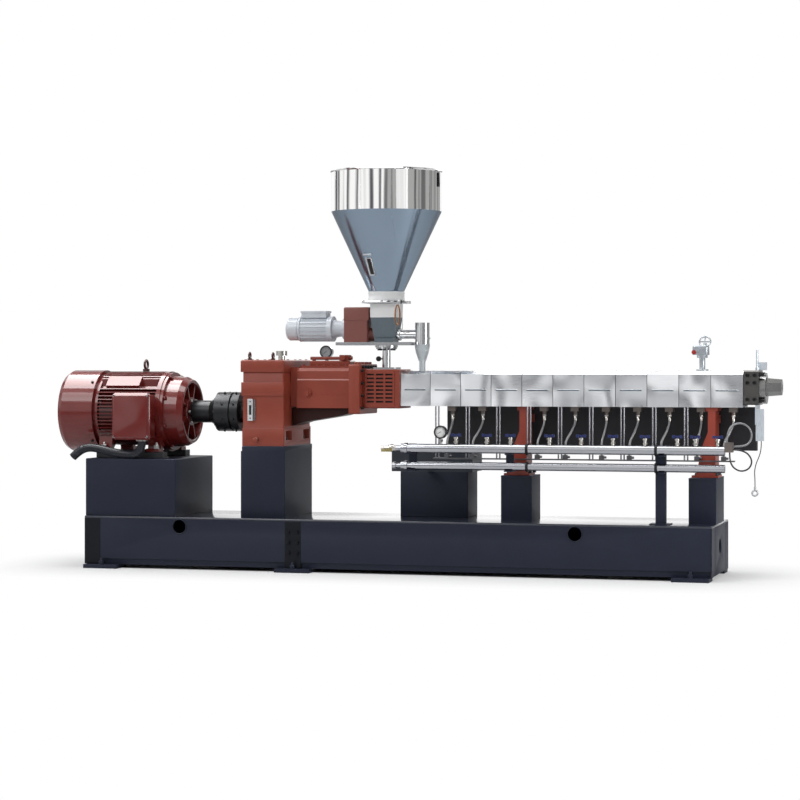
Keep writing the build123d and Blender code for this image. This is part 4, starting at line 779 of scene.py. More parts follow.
@dataclass
class Studio:
    """Pale floor, soft light and the camera."""

    camera_place: Point = (4.961, -18.0, 1.60)
    camera_yaw: float = 15.47
    lens: float = 108.1
    shift_down: float = -0.0451
    sensor: float = 36.0
    farthest: float = 300.0
    floor_radius: float = 90.0
    floor_colour: Colour = (0.66, 0.66, 0.66)
    floor_roughness: float = 0.7
    floor_specular: float = 0.2
    footprint: Point = (2.4, 0.4, 0.0)
    fade_range: tuple[float, float] = (0.05, 1.1)
    fade_least: float = 0.35
    under_edge: float = 0.02
    sky_level: float = 0.62
    sky_tint: Colour = (0.94, 0.96, 1.0)
    band_scale: float = 6.0
    band_stretch: Point = (1.0, 1.0, 0.35)
    dark_band: tuple[float, Colour] = (0.36, (0.17, 0.17, 0.19))
    bright_band: tuple[float, Colour] = (0.54, (1.8, 1.8, 1.8))
    right_range: tuple[float, float] = (-0.2, 0.8)
    right_share: float = 0.12
    mirrored_right_range: tuple[float, float] = (0.15, 0.30)
    mirrored_right_share: float = 0.4
    ceiling_range: tuple[float, float] = (0.82, 0.96)
    ceiling_share: float = 0.3
    mirrored_lamp: str = "glare"
    lamps: dict[str, tuple[Point, Point, tuple[float, float], float]] = field(default_factory=lambda: {
        "key": ((-4.5, -7.0, 6.5), (-0.4, 0.0, 1.0), (5.0, 3.5), 230.0),
        "fill": ((6.5, -6.0, 4.0), (0.6, 0.0, 1.0), (4.0, 3.0), 34.0),
        "top": ((0.0, -0.5, 7.5), (0.0, 0.0, 0.0), (8.0, 2.4), 380.0),
        "rear": ((1.5, 8.0, 5.5), (0.0, 0.0, 1.0), (7.0, 3.0), 160.0),
        "die": ((5.2, -1.6, 1.6), (2.5, 0.0, 0.6), (1.4, 1.4), 50.0),
        "glare": ((-3.3, 0.1, 3.7), (-3.3, 0.1, 0.0), (2.2, 2.6), 190.0),
    })

    def set_up(self) -> None:
        """Builds the floor, the sky, the lamps and the camera."""
        bpy.context.scene.view_settings.view_transform = "Standard"
        self.lay_floor()
        self.hang_sky()
        for name in self.lamps:
            self.hang_lamp(name)
        self.stand_camera()

    def lay_floor(self) -> None:
        """Lays a round pale floor that fades to white away from the machine and is plain under it."""
        Workbench.clear()
        bpy.ops.mesh.primitive_circle_add(vertices=96, radius=self.floor_radius, fill_type="NGON")
        floor = bpy.context.active_object
        floor.name = "studio_floor"
        material = bpy.data.materials.new("studio_floor")
        graph = Graph(material)
        paint = graph.feed(graph.nodes["Principled BSDF"], {
            "Base Color": (*self.floor_colour, 1.0), "Roughness": self.floor_roughness,
            "Specular IOR Level": self.floor_specular})
        white = graph.add("Emission", {"Color": WHITE})
        place = graph.add("TexCoord", {}).outputs["Object"]
        across = graph.count("ABSOLUTE", place, kind="VectorMath")
        beyond = graph.count("SUBTRACT", across, self.footprint, kind="VectorMath")
        outside = graph.count("MAXIMUM", beyond, kind="VectorMath")
        distance = graph.count("LENGTH", outside, kind="VectorMath", output="Value")
        faded = graph.span(distance, self.fade_range, (self.fade_least, 1.0), "SMOOTHSTEP")
        uncovered = graph.span(distance, (0.0, self.under_edge), (0.0, 1.0))
        camera_ray = graph.add("LightPath", {}).outputs["Is Camera Ray"]
        seen = graph.count("MULTIPLY", graph.count("MULTIPLY", faded, uncovered), camera_ray)
        graph.show(seen, paint, white)
        floor.data.materials.append(material)

    def hang_sky(self) -> None:
        """Lights from all round, brighter on the left, with soft darker bands for bare metal to mirror."""
        world = bpy.data.worlds.new("studio_sky")
        bpy.context.scene.world = world
        graph = Graph(world)
        white = graph.add("Background", {"Color": WHITE})
        place = graph.add("TexCoord", {}).outputs["Generated"]
        stretched = graph.add("Mapping", {"Vector": place, "Scale": self.band_stretch}).outputs["Vector"]
        ramp = graph.add("ValToRGB", {"Fac": graph.noise(stretched, self.band_scale, 1.0)})
        for stop, (position, colour) in zip(ramp.color_ramp.elements, (self.dark_band, self.bright_band)):
            stop.position, stop.color = position, (*colour, 1.0)
        ray = graph.add("LightPath", {}).outputs
        side = graph.add("SeparateXYZ", {"Vector": place}).outputs
        ceiling = graph.span(side["Z"], self.ceiling_range, (1.0, self.ceiling_share), "SMOOTHSTEP")
        mirrored = graph.multiply(ramp.outputs["Color"], ceiling)
        tint = graph.add("Mix", {"Factor": ray["Is Glossy Ray"], "A": (*self.sky_tint, 1.0), "B": mirrored},
                         data_type="RGBA")
        plain, glossy = (graph.span(side["X"], reach, (1.0, share), "SMOOTHSTEP") for reach, share in (
            (self.right_range, self.right_share), (self.mirrored_right_range, self.mirrored_right_share)))
        fall = graph.add("Mix", {"Factor": ray["Is Glossy Ray"], "A": plain, "B": glossy})
        shaded = graph.multiply(tint.outputs["Result"], fall.outputs["Result"])
        light = graph.feed(graph.nodes["Background"], {"Color": shaded, "Strength": self.sky_level})
        graph.show(ray["Is Camera Ray"], light, white)

    def hang_lamp(self, name: str) -> None:
        """Hangs one soft lamp, which shows in mirrored light alone if it is the glare.

        Args:
            name: Name of the lamp.
        """
        place, aim, size, power = self.lamps[name]
        lamp = bpy.data.lights.new(name, "AREA")
        lamp.shape = "RECTANGLE"
        lamp.size, lamp.size_y = size
        lamp.energy = power
        holder = bpy.data.objects.new(f"lamp_{name}", lamp)
        bpy.context.scene.collection.objects.link(holder)
        holder.location = place
        holder.rotation_euler = (Vector(aim) - Vector(place)).to_track_quat("-Z", "Y").to_euler()
        holder.visible_camera = False
        holder.visible_diffuse = name != self.mirrored_lamp

    def stand_camera(self) -> None:
        """Stands the camera level, in front and to the right, as in the photograph."""
        camera = bpy.data.cameras.new("camera")
        camera.lens = self.lens
        camera.sensor_width = self.sensor
        camera.shift_y = self.shift_down
        camera.clip_end = self.farthest
        holder = bpy.data.objects.new("camera", camera)
        bpy.context.scene.collection.objects.link(holder)
        holder.location = self.camera_place
        holder.rotation_euler = (math.radians(90), 0.0, math.radians(self.camera_yaw))
        bpy.context.scene.camera = holder


@dataclass
class SubAssembly:
    """A part of the machine that is dressed on its own."""

    bench: Workbench

    def build(self) -> None:
        """Adds the sub-assembly's pieces."""
        raise NotImplementedError

    def soften_all(self, edges: dict[str, float]) -> None:
        """Rounds the edges of some nodes, each by its own width."""
        for node, width in edges.items():
            self.bench.soften(node, width)


@dataclass
class Cords(SubAssembly):
    """The conduit of the motor and the three leads at the die end."""

    conduit_radius: float = 0.033
    conduit_pitch: float = 0.0075
    conduit_groove: float = 0.0035
    conduit_sides: int = 28
    rings_each_pitch: int = 4
    mouth_share: float = 0.8
    mouth_taper: float = 0.02
    mouth_depth: float = 0.03
    smooth_angle: float = math.radians(50)
    conduit_route: tuple[Point, ...] = (
        (-2.000, -0.418, 0.9949), (-2.000, -0.418, 0.9489), (-2.046, -0.412, 0.894),
        (-2.142, -0.404, 0.891), (-2.240, -0.408, 0.904), (-2.338, -0.414, 0.928),
        (-2.436, -0.418, 0.946), (-2.522, -0.422, 0.922), (-2.580, -0.424, 0.866),
    )
    heater_route: tuple[Point, ...] = (
        (2.5763, -0.408, 1.0243), (2.5763, -0.408, 1.0763), (2.6023, -0.410, 1.1423),
        (2.6643, -0.408, 1.1723), (2.7303, -0.402, 1.1483), (2.7603, -0.394, 1.0863),
        (2.7423, -0.388, 1.0223), (2.6883, -0.388, 0.9943), (2.6206, -0.388, 0.9943),
    )
    sensor_route: tuple[Point, ...] = (
        (2.6206, -0.412, 0.9717), (2.6706, -0.412, 0.9717), (2.7326, -0.413, 0.9457),
        (2.7646, -0.416, 0.8877), (2.7386, -0.420, 0.8297), (2.6766, -0.422, 0.8117),
        (2.6186, -0.418, 0.8437), (2.5966, -0.412, 0.8997), (2.5966, -0.412, 0.9517),
    )
    probe_route: tuple[Point, ...] = (
        (2.793, -0.128, 1.0277), (2.793, -0.128, 0.9717), (2.779, -0.132, 0.9157),
        (2.755, -0.136, 0.8617), (2.743, -0.136, 0.8017), (2.747, -0.132, 0.7437),
        (2.747, -0.132, 0.6877),
    )

    def build(self) -> None:
        self.lay_conduit()
        self.lay_cable("heater_cable", self.heater_route, 0.014, 0.510, "pale_cable", "object", "stiff")
        self.lay_cable("sensor_cable", self.sensor_route, 0.012, 0.474, "black_rubber", "object", "medium")
        self.lay_cable("probe_lead", self.probe_route, 0.007, 0.348, "black_rubber", "fitting", "medium",
                       ("probe_ring",))

    def spline(self, name: str, route: Sequence[Point], radius: float) -> Piece:
        """Draws a smooth line through a route.

        Args:
            name: Name of the curve.
            route: Control points, in metres.
            radius: Radius of its round section, 0 for a bare line.

        Returns:
            The curve.
        """
        curve = bpy.data.curves.new(name, "CURVE")
        curve.dimensions = "3D"
        curve.resolution_u = 14
        curve.bevel_depth = radius
        curve.bevel_resolution = 5
        curve.use_fill_caps = True
        line = curve.splines.new("NURBS")
        line.points.add(len(route) - 1)
        for knot, place in zip(line.points, route):
            knot.co = (*place, 1.0)
        line.order_u = 3
        line.use_endpoint_u = True
        holder = bpy.data.objects.new(name, curve)
        bpy.context.scene.collection.objects.link(holder)
        return holder

    def lay_cable(self, node: str, route: Sequence[Point], diameter: float, length: float, slot: str,
                  far_end: str, stiffness: str, with_pieces: Sequence[str] = ()) -> None:
        """Lays one plain cable over its CAD solid.

        Args:
            node: The CAD node that it replaces.
            route: Its control points.
            diameter: Its diameter.
            length: Its length; not used.
            slot: Its finish.
            far_end: What is at its far end; not used.
            stiffness: How stiff it is; not used.
            with_pieces: What hangs on it; not used.
        """
        cable = self.bench.hand_over(self.spline(f"{node}_jacket", route, diameter / 2), slot)
        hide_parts(node)

    def lay_conduit(self) -> None:
        """Lays the motor's corrugated conduit along its line."""
        line = self.spline("conduit_line", self.conduit_route, 0.0)
        path = [vertex.co.copy() for vertex in bpy.data.meshes.new_from_object(line).vertices]
        bpy.data.objects.remove(line)
        data = bpy.data.meshes.new("motor_conduit_tube")
        conduit = bpy.data.objects.new("motor_conduit_tube", data)
        bpy.context.scene.collection.objects.link(conduit)
        mesh = self.corrugate(path)
        mesh.to_mesh(data)
        mesh.free()
        self.bench.select(conduit)
        bpy.ops.object.shade_smooth_by_angle(angle=self.smooth_angle)
        self.bench.hand_over(conduit, "black_rubber")
        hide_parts("motor_conduit")

    def corrugate(self, path: Sequence[Vector]) -> bmesh.types.BMesh:
        """Models a corrugated tube with an open mouth at its far end.

        Args:
            path: The points of its middle line.

        Returns:
            The tube's mesh.
        """
        length = sum((b - a).length for a, b in pairwise(path))
        steps = round(length / self.conduit_pitch) * self.rings_each_pitch
        mesh, rings, across = bmesh.new(), [], Vector((0, 1, 0))
        turns = [2 * math.pi * k / self.conduit_sides for k in range(self.conduit_sides)]
        for i in range(steps + 1):
            point, heading = self.along(path, length * i / steps)
            across = (across - heading * across.dot(heading)).normalized()
            grooved = i % self.rings_each_pitch >= self.rings_each_pitch / 2 and 0 < i < steps
            radius = self.conduit_radius - (self.conduit_groove if grooved else 0.0)
            spokes = [across * math.cos(turn) + heading.cross(across) * math.sin(turn) for turn in turns]
            rings.append([mesh.verts.new(point + spoke * radius) for spoke in spokes])
        self.skin(mesh, rings)
        mesh.faces.new(rings[0])
        mouth = [rings[-1]]
        floor_share = self.mouth_share - self.mouth_taper
        for depth, share in ((0.0, self.mouth_share), (self.mouth_depth, floor_share)):
            mouth.append([mesh.verts.new(point + (vertex.co - point) * share - heading * depth)
                          for vertex in rings[-1]])
        self.skin(mesh, mouth)
        mesh.faces.new(list(reversed(mouth[-1])))
        bmesh.ops.recalc_face_normals(mesh, faces=mesh.faces)
        return mesh

    @staticmethod
    def skin(mesh: bmesh.types.BMesh, rings: Sequence[list[bmesh.types.BMVert]]) -> None:
        """Lays faces from each ring of corners to the next.

        Args:
            mesh: The mesh that gets them.
            rings: The corners, ring by ring.
        """
        for ring, following in pairwise(rings):
            for k in range(len(ring)):
                mesh.faces.new((ring[k], ring[k - 1], following[k - 1], following[k]))

    @staticmethod
    def along(path: Sequence[Vector], distance: float) -> tuple[Vector, Vector]:
        """Finds the point and the heading at a distance along a path.

        Args:
            path: The path's points.
            distance: How far along it.

        Returns:
            The point and the unit heading.
        """
        gone = 0.0
        for a, b in pairwise(path):
            step = (b - a).length
            if gone + step >= distance - 1e-9:
                return a.lerp(b, (distance - gone) / step), (b - a).normalized()
            gone += step
        return path[-1].copy(), (path[-1] - path[-2]).normalized()


@dataclass
class BaseDressing(SubAssembly):
    """The welded base, its pedestals and its columns."""

    anchor_inset: tuple[float, float] = (0.14, 0.03)
    middle_anchor: float = -0.744
    joint_centre: float = -0.75
    joint_width: float = 0.13
    splice_gap: float = 0.004
    splice_bolt_lines: tuple[float, float] = (-0.035, 0.035)
    splice_bolt_heights: tuple[float, ...] = (0.15, 0.23, 0.31)
    cap_thickness: float = 0.006
    collar_places: tuple[float, float] = (-1.678, 1.450)
    collar_height: float = 0.335
    collar: Profile = ((0.0545, -0.016), (0.0600, -0.003), (0.0600, 0.003), (0.0570, 0.005), (0.0530, 0.003),
                       (0.0530, -0.016))
    edges: dict[str, float] = field(default_factory=lambda: {
        "base_rails": 0.004, "base_deck": 0.003, "base_feet": 0.002, "motor_pedestal": 0.004,
        "gearbox_pedestal": 0.003, "barrel_columns": 0.004, "tank_pedestal": 0.004,
        "base_cross_members": 0.002,
    })

    def build(self) -> None:
        """Rounds the plates' edges, sets the anchors' nuts and finishes the rails."""
        self.soften_all(self.edges)
        feet, rails = Extent.of("base_feet"), Extent.of("base_rails")
        inset_x, inset_y = self.anchor_inset
        spots = product((feet.low.x + inset_x, self.middle_anchor, feet.high.x - inset_x),
                        (feet.low.y + inset_y, feet.high.y - inset_y), (feet.high.z,))
        self.bench.fasten("anchor_nuts", Fastener.NUT, seats(spots, UP, 0.036), "navy_paint")
        self.splice_rails(rails)
        self.cap_channels(rails)
        self.bench.repeat("lifting_hole_collars", self.bench.turned("collar", 40, self.collar, hollow=True),
                          [seat((x, side * rails.high.y, self.collar_height), BACK * side)
                           for x, side in product(self.collar_places, SIDES)], "navy_paint")

    def splice_rails(self, rails: Extent) -> None:
        """Sets the splice plates and their bolts where the rails are joined, near black as painted shade of
        the recessed joint.

        Args:
            rails: Box of the rails.
        """
        half, gap = self.joint_width / 2, self.splice_gap
        plates = []
        for side, centre in product(SIDES, (self.joint_centre, rails.low.x + half + gap / 2)):
            face = side * rails.high.y
            inner, outer = sorted((face - side * gap, face + side * 0.001))
            plates.append(self.bench.panel("splice", (centre - half, inner, rails.low.z + gap),
                                           (centre + half, outer, rails.high.z - gap),
                                           BACK * side, 0.010, 0.0008, 0.0004))
        # Near black: painted shade of the recess where the rails are joined.
        self.bench.hand_over(self.bench.join("rail_splices", plates), "joint_black")
        self.bench.fasten("splice_bolts", Fastener.HEX, [
            seat((self.joint_centre + dx, side * (rails.high.y + gap / 2), z), BACK * side, 0.022)
            for side, dx, z in product(SIDES, self.splice_bolt_lines, self.splice_bolt_heights)],
            "joint_black")

    def cap_channels(self, rails: Extent) -> None:
        """Closes the open ends of the channel rails with welded caps.

        Args:
            rails: Box of the rails.
        """
        inner = Extent.of("base_cross_members").high.y + 0.0005
        caps = []
        for (end, inside), side in product(((rails.low.x, 1), (rails.high.x, -1)), SIDES):
            low_x, high_x = sorted((end - inside * 0.0005, end + inside * self.cap_thickness))
            low_y, high_y = sorted((side * inner, side * rails.high.y))
            caps.append(self.bench.block("cap", (low_x, low_y, rails.low.z + 0.001),
                                         (high_x, high_y, rails.high.z - 0.001), 0.001, 1))
        self.bench.hand_over(self.bench.join("channel_caps", caps), "navy_paint")


@dataclass
class MotorDressing(SubAssembly):
    """The main motor with its cowl, shield, terminal box and feet."""

    shield_ring: float = 0.292
    bearing_ring: float = 0.098
    lid_inset: float = 0.022
    foot_thickness: float = 0.026
    foot_inset: tuple[float, float] = (0.06, 0.02)
    gland_place: tuple[float, float] = (-2.000, -0.418)
    gland: Profile = ((0.044, 0.0), (0.046, 0.002), (0.046, 0.018), (0.043, 0.021))
    hub: Profile = ((0.052, 0.0), (0.05, 0.006), (0.03, 0.009), (0.012, 0.010))

    def build(self) -> None:
        """Dresses the round frame, the terminal box and the feet."""
        self.dress_frame()
        self.dress_terminal_box()
        rails, (inset_x, inset_y) = Extent.of("motor_rails"), self.foot_inset
        spots = product((rails.low.x + inset_x, rails.high.x - inset_x),
                        (inset_y - rails.high.y, rails.high.y - inset_y),
                        (rails.high.z + self.foot_thickness,))
        self.bench.fasten("motor_foot_bolts", Fastener.NUT, seats(spots, UP, 0.036), "bolt_zinc")

    def dress_frame(self) -> None:
        """Sets the cowl's screws, the hub of its grille and the bolts of shield and bearing cover."""
        cowl, shield = Extent.of("motor_fan_cowl"), Extent.of("motor_end_shield")
        self.bench.fasten("cowl_screws", Fastener.HEX, around(
            cowl.high.x - 0.03, MOTOR_AXIS, cowl.size.y / 2, 4, 45, 0.018), "bolt_black")
        self.bench.hand_over(self.bench.turned("cowl_grille_hub", 40, self.hub), "motor_red_paint",
                             seat((cowl.low.x, 0, MOTOR_AXIS), TOWARDS_MOTOR))
        ring = around(shield.low.x + 0.03, MOTOR_AXIS, self.shield_ring, 8, 22.5, 0.026, TOWARDS_DIE)
        self.bench.fasten("shield_bolts", Fastener.HEX, ring, "motor_red_paint")
        ring = around(shield.high.x - 0.001, MOTOR_AXIS, self.bearing_ring, 6, 0, 0.02, TOWARDS_DIE)
        self.bench.fasten("bearing_cover_bolts", Fastener.HEX, ring, "bolt_zinc")

    def dress_terminal_box(self) -> None:
        """Sets the lid's screws and the gland's nut."""
        box, inset = Extent.of("motor_terminal_box"), self.lid_inset
        spots = product((box.low.x + inset, box.high.x - inset), (box.low.y + 0.018,),
                        (box.low.z + 0.036, box.high.z - inset))
        self.bench.fasten("terminal_lid_screws", Fastener.SOCKET, seats(spots, FRONT, 0.020), "bolt_zinc")
        self.bench.hand_over(self.bench.turned("terminal_gland_nut", 6, self.gland), "bolt_zinc",
                             seat((*self.gland_place, box.low.z - 0.0005), UP))


@dataclass
class GearboxDressing(SubAssembly):
    """Coupling, reducer, transmission gearbox and lantern."""

    pocket_height: float = 1.006
    bolt_inset: float = 0.03
    cap_ledge: float = 0.014
    cap_bolt_lines: tuple[float, ...] = (-0.31, -0.155, 0.155, 0.31)
    cap_inner_bolts: tuple[tuple[float, float], ...] = ((0.13, 0.23), (-0.32, 0.32))
    foot_bolt_line: float = 0.22
    flange_pitch: float = 0.068
    flange_shares: tuple[float, ...] = (0.12, 0.37, 0.62, 0.87)
    flange_top_lines: tuple[float, ...] = (-0.19, -0.1, 0.0, 0.1, 0.19)
    flange_top_inset: float = 0.044
    plug: Profile = ((0.020, 0.0), (0.021, 0.002), (0.021, 0.016), (0.017, 0.020))
    plug_offset: Vector = field(default_factory=lambda: Vector((0.016, -0.0005, 0.016)))
    coupling_rows: dict[str, float] = field(default_factory=lambda: {
        "coupling_front_screws": -1.440, "coupling_rear_screws": -1.345})
    edges: dict[str, float] = field(default_factory=lambda: {
        "reducer_housing": 0.003, "reducer_cap": 0.004, "transmission_flange": 0.003,
        "oil_sump": 0.004, "lantern": 0.002, "motor_terminal_box": 0.002, "feeder_reducer": 0.003,
    })

    def build(self) -> None:
        """Rounds the castings' edges and sets their bolts, plug and plates, with black sheets of painted
        shade behind the louvres.
        """
        self.soften_all(self.edges)
        self.bolt_reducer()
        self.bolt_flange()
        self.bench.hand_over(self.bench.turned("drain_plug", 6, self.plug), "red_paint",
                             seat(Extent.of("reducer_fittings").low + self.plug_offset, FRONT))
        self.back_louvres()
        self.dress_sight_plate()
        coupling = Extent.of("shaft_coupling")
        for name, x in self.coupling_rows.items():
            ring = around(x, coupling.centre.z, coupling.size.z / 2 - 0.001, 8, 22.5, 0.016)
            self.bench.fasten(name, Fastener.SOCKET, ring, "bolt_black")

    def bolt_reducer(self) -> None:
        """Sets the cap's bolts and the bolts in the housing's foot pockets."""
        cap, housing = Extent.of("reducer_cap"), Extent.of("reducer_housing")
        rows = (*product((self.bolt_inset, cap.size.x - self.bolt_inset), self.cap_bolt_lines),
                *product(*self.cap_inner_bolts))
        spots = [(cap.low.x + dx, y, cap.high.z - self.cap_ledge) for dx, y in rows]
        self.bench.fasten("reducer_cap_bolts", Fastener.SOCKET, seats(spots, UP, 0.022), "red_paint")
        spots = [(housing.high.x - self.bolt_inset, side * self.foot_bolt_line, self.pocket_height)
                 for side in SIDES]
        self.bench.fasten("reducer_foot_bolts", Fastener.NUT, seats(spots, UP, 0.03), "bolt_black")

    def bolt_flange(self) -> None:
        """Sets the bolts between the gearbox flange and the lantern, and those on the flange's top."""
        flange, lantern = Extent.of("transmission_flange"), Extent.of("lantern")
        spots = [(flange.high.x, (i - 2.5) * self.flange_pitch, lantern.high.z + 0.020) for i in range(6)]
        spots += [(flange.high.x, side * (lantern.high.y + 0.030), flange.low.z + share * flange.size.z)
                  for side, share in product(SIDES, self.flange_shares)]
        self.bench.fasten("lantern_flange_bolts", Fastener.SOCKET, seats(spots, TOWARDS_DIE, 0.022),
                          "bolt_black")
        spots = [(flange.low.x + self.flange_top_inset, y, flange.high.z) for y in self.flange_top_lines]
        self.bench.fasten("flange_top_bolts", Fastener.HEX, seats(spots, UP, 0.026), "red_paint")

    def back_louvres(self) -> None:
        """Sets a black sheet behind each louvred plate: painted shade seen through its slots."""
        wall, plates = Extent.of("lantern").high.y, Extent.of("lantern_louvres")
        sheets = []
        for side in SIDES:
            inner, outer = sorted((side * (wall - 0.017), side * (wall - 0.015)))
            sheets.append(self.bench.block("sheet", (plates.low.x + 0.018, inner, plates.low.z + 0.02),
                                           (plates.high.x - 0.018, outer, plates.high.z - 0.02), 0.0004, 1))
        # Black sheets behind the slots: painted shade of the lantern's inside.
        self.bench.hand_over(self.bench.join("louvre_guards", sheets), "ink_black")

    def dress_sight_plate(self) -> None:
        """Sets the bare sight plate with its window and screws."""
        low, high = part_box("sight_glass")
        plate = self.bench.panel("sight_plate", (low.x - 0.002, low.y - 0.004, low.z - 0.002),
                                 (high.x - 0.018, low.y + 0.004, high.z + 0.002), FRONT, 0.006, 0.001, 0.001)
        self.bench.hand_over(plate, "bare_plate")
        middle = (low.x + high.x) / 2 - 0.009
        window = self.bench.panel("sight_window", (middle - 0.009, low.y - 0.006, low.z + 0.045),
                                  (middle + 0.009, low.y, high.z - 0.045), FRONT, 0.002, 0.0006, 0.001)
        self.bench.hand_over(window, "ink_black")
        spots = [(middle, low.y - 0.004, z) for z in (low.z + 0.018, high.z - 0.018)]
        self.bench.fasten("sight_plate_screws", Fastener.PAN, seats(spots, FRONT, 0.011), "ink_black")


@dataclass
class BarrelDressing(SubAssembly):
    """Covers, supports, die head and vent of the barrel."""

    screw_shares: tuple[float, float] = (0.14, 0.86)
    screw_side: float = 0.085
    rib_start: float = 0.036
    rib_length: float = 0.165
    rib_height: float = SCREW_AXIS + 0.004
    support_bolts: tuple[float, ...] = (0.862, 1.030, 2.305, 2.455)
    support_bolt_lines: tuple[float, float] = (-0.075, 0.075)
    die_nut_lines: tuple[float, float] = (-0.095, 0.095)
    die_screws: tuple[float, ...] = (2.690, 2.744)
    die_screw_rises: tuple[float, ...] = (-0.062, 0.062, 0.118)
    knob_size: float = 0.045

    def build(self) -> None:
        """Sets the covers' screws and dark rib lines, the supports' and the die's bolts and the vent's knob;
        the rib lines are partly pressed slots and partly painted shade.
        """
        covers, die = Extent.of("barrel_covers"), Extent.of("die_head")
        starts = [FIRST_SECTION + i * SECTION for i in range(SECTIONS)]
        spots = [(start + share * SECTION, y, covers.high.z - 0.0002) for start, share, y
                 in product(starts, self.screw_shares, (-self.screw_side, self.screw_side))]
        self.bench.fasten("cover_screws", Fastener.PAN, seats(spots, UP, 0.014), "bolt_zinc")
        # Dark strip along each cover's rib: partly the pressed slot, partly painted shade and painted dark
        # reflection under the rib.
        line = self.bench.block("line", (0.0, -0.0020, -0.0060), (self.rib_length, 0.0020, 0.0035), 0.0008, 1)
        self.bench.repeat("cover_pull_lines", line, [
            Matrix.Translation((start + self.rib_start, side * (covers.high.y - 0.0002), self.rib_height))
            for start, side in product(starts, SIDES)], "trough_sheet")
        spots = product(self.support_bolts, self.support_bolt_lines,
                        (Extent.of("barrel_supports").low.z + 0.016,))
        self.bench.fasten("support_bolts", Fastener.HEX, seats(spots, UP, 0.026), "bolt_black")
        spots = product((die.high.x,), self.die_nut_lines,
                        (die.low.z + 0.03, die.centre.z, die.high.z - 0.03))
        self.bench.fasten("die_face_nuts", Fastener.NUT, seats(spots, TOWARDS_DIE, 0.028), "bolt_black")
        self.bench.fasten("die_side_screws", Fastener.SOCKET, [
            seat((x, side * (die.high.y - 0.001), SCREW_AXIS + dz), BACK * side, 0.026)
            for side, x, dz in product(SIDES, self.die_screws, self.die_screw_rises)], "bolt_black")
        knob_end = Extent.of("vent_valve").low + Vector((self.knob_size, self.knob_size, 0))
        self.bench.recoat(self.bench.soften("vent_valve", 0.001), "knob_red",
                          lambda middle: middle.y < knob_end.y and middle.x < knob_end.x)


